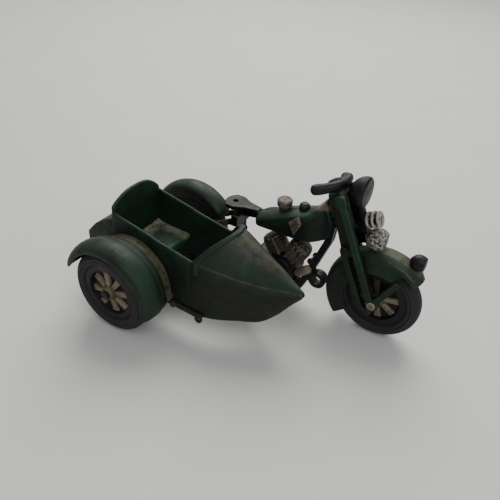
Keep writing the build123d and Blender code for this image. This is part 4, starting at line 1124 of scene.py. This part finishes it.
ZONES = {"fork_right_half": (fork_dark, fork_pale), "fork_left_half": (fork_dark, fork_pale),
         "frame_right_half": (None, frame_pale), "frame_left_half": (None, frame_pale),
         "sidecar_trunk": (even(0.55), None), "sidecar_side_rail": (even(0.55), None)}
CASTINGS = (  # CAD node, material, slot, voxel in millimetres
    ("sidecar_trunk", DARK_GREEN, "dark_green_enamel", 0.55),
    ("sidecar_side_rail", IRON, "dark_green_enamel", 0.3),
    ("sidecar_axle_bracket", BLACK, "black_enamel", 0.4), ("front_cross_arm", BLACK, "black_enamel", 0.35),
    ("rear_cross_arm", BLACK, "black_enamel", 0.35), ("side_rail_rivet", IRON, "bare_iron", 0.3),
    ("fork_right_half", BRIGHT_GREEN, "green_enamel", 0.36),
    ("fork_left_half", BRIGHT_GREEN, "green_enamel", 0.36), ("fork_rivet", BLACK, "bare_iron", 0.3),
    ("steering_pin", PEENED, "bare_iron", 0.3), ("frame_right_half", BLACK, "black_enamel", 0.42),
    ("frame_left_half", BLACK, "black_enamel", 0.42), ("frame_rivets", BLACK, "bare_iron", 0.3),
    ("crankcase", BLACK, "black_enamel", 0.42), ("saddle", BLACK, "black_enamel", 0.36),
    ("filler_cap", SILVER, "silver_paint", 0.3), ("oil_cap", GREEN, "green_enamel", 0.3),
    ("tank_side_plate", SILVER, "silver_paint", 0.3), ("lamp_stem", BLACK, "black_enamel", 0.3),
    ("front_axle", PEENED, "bare_iron", 0.26), ("rear_axle", PEENED, "bare_iron", 0.26),
    ("sidecar_axle", BLACK, "bare_iron", 0.26), ("headlamp", BLACK, "black_enamel", 0.36),
    ("horn", SPOTTED, "silver_paint", 0.3), ("fender_lamp", SPOTTED, "silver_paint", 0.34),
    ("fender_tip_lamp", BLACK, "black_enamel", 0.3))
body_of_node = {n: body for body, nodes in frame["record"]["behaviour"]["bodies"].items() for n in nodes}
for node, material, slot, voxel in CASTINGS:
    copy = cast(cad_copy(node + "_casting", node), fine(voxel), 3)
    dark, pale = ZONES.get(node, (None, None))
    publish(copy, material, body_of_node[node], slot, node, dark=dark, pale=pale)

# ---------- floor, light and camera
TABLE_CORNERS = [(-3, -3, 0), (3, -3, 0), (3, 3, 0), (-3, 3, 0)]
floor_mesh = new_piece("floor", TABLE_CORNERS, [(0, 1, 2, 3)])
floor_nodes = Nodes("pale_table")
tint = floor_nodes.mix(floor_nodes.step(floor_nodes.noise(60 * MM), 0.3, 0.7),
                       (0.66, 0.65, 0.63), (0.69, 0.68, 0.66))
floor_nodes.link(tint, floor_nodes.shader.inputs["Base Color"])
floor_nodes.shader.inputs["Roughness"].default_value = 0.6
floor_mesh.data.materials.append(floor_nodes.material)


def area_light(name, place, size, power, colour):
    """Soft light aimed at the toy's middle."""
    lamp = bpy.data.lights.new(name, "AREA")
    lamp.size = size
    lamp.energy = power
    lamp.color = colour
    holder = bpy.data.objects.new(name, lamp)
    holder.location = place
    holder.rotation_euler = (Vector(LIGHT_TARGET) - Vector(place)).to_track_quat("-Z", "Y").to_euler()
    bpy.context.scene.collection.objects.link(holder)


LIGHT_TARGET = (0, 0, 0.04)
area_light("window", (-0.35, 0.75, 1.0), 1.1, 17.0, (1.0, 0.99, 0.97))
area_light("room", (0.6, -0.5, 0.9), 0.9, 5.0, (0.96, 0.98, 1.0))
world = bpy.data.worlds.new("room")
world.use_nodes = True
world.node_tree.nodes["Background"].inputs["Color"].default_value = (0.86, 0.87, 0.88, 1)
world.node_tree.nodes["Background"].inputs["Strength"].default_value = 0.42
bpy.context.scene.world = world

# The photograph's camera; its place is from the foot of the front wheel, in millimetres.
azimuth, elevation, roll = math.radians(30.0), math.radians(34.9), math.radians(3.7)
CAMERA_PLACE = (70.09, -288.43, 256.05)
LENS, SENSOR_WIDTH = 41.04, 36
back = Vector((math.sin(azimuth) * math.cos(elevation), -math.cos(azimuth) * math.cos(elevation),
               math.sin(elevation)))
right = Vector((0, 0, 1)).cross(back).normalized()
up = back.cross(right)
tilted_right = right * math.cos(roll) + up * math.sin(roll)
tilted_up = up * math.cos(roll) - right * math.sin(roll)
stand = Vector((front_hub.x, bike_y, 0)) + Vector(CAMERA_PLACE) * MM
camera_data = bpy.data.cameras.new("camera")
camera_data.sensor_width = SENSOR_WIDTH
camera_data.lens = LENS
camera_data.clip_start = 0.01
camera = bpy.data.objects.new("camera", camera_data)
turn = Matrix((tilted_right, tilted_up, back)).transposed().to_4x4()
camera.matrix_world = Matrix.Translation(stand) @ turn
bpy.context.scene.collection.objects.link(camera)
bpy.context.scene.camera = camera
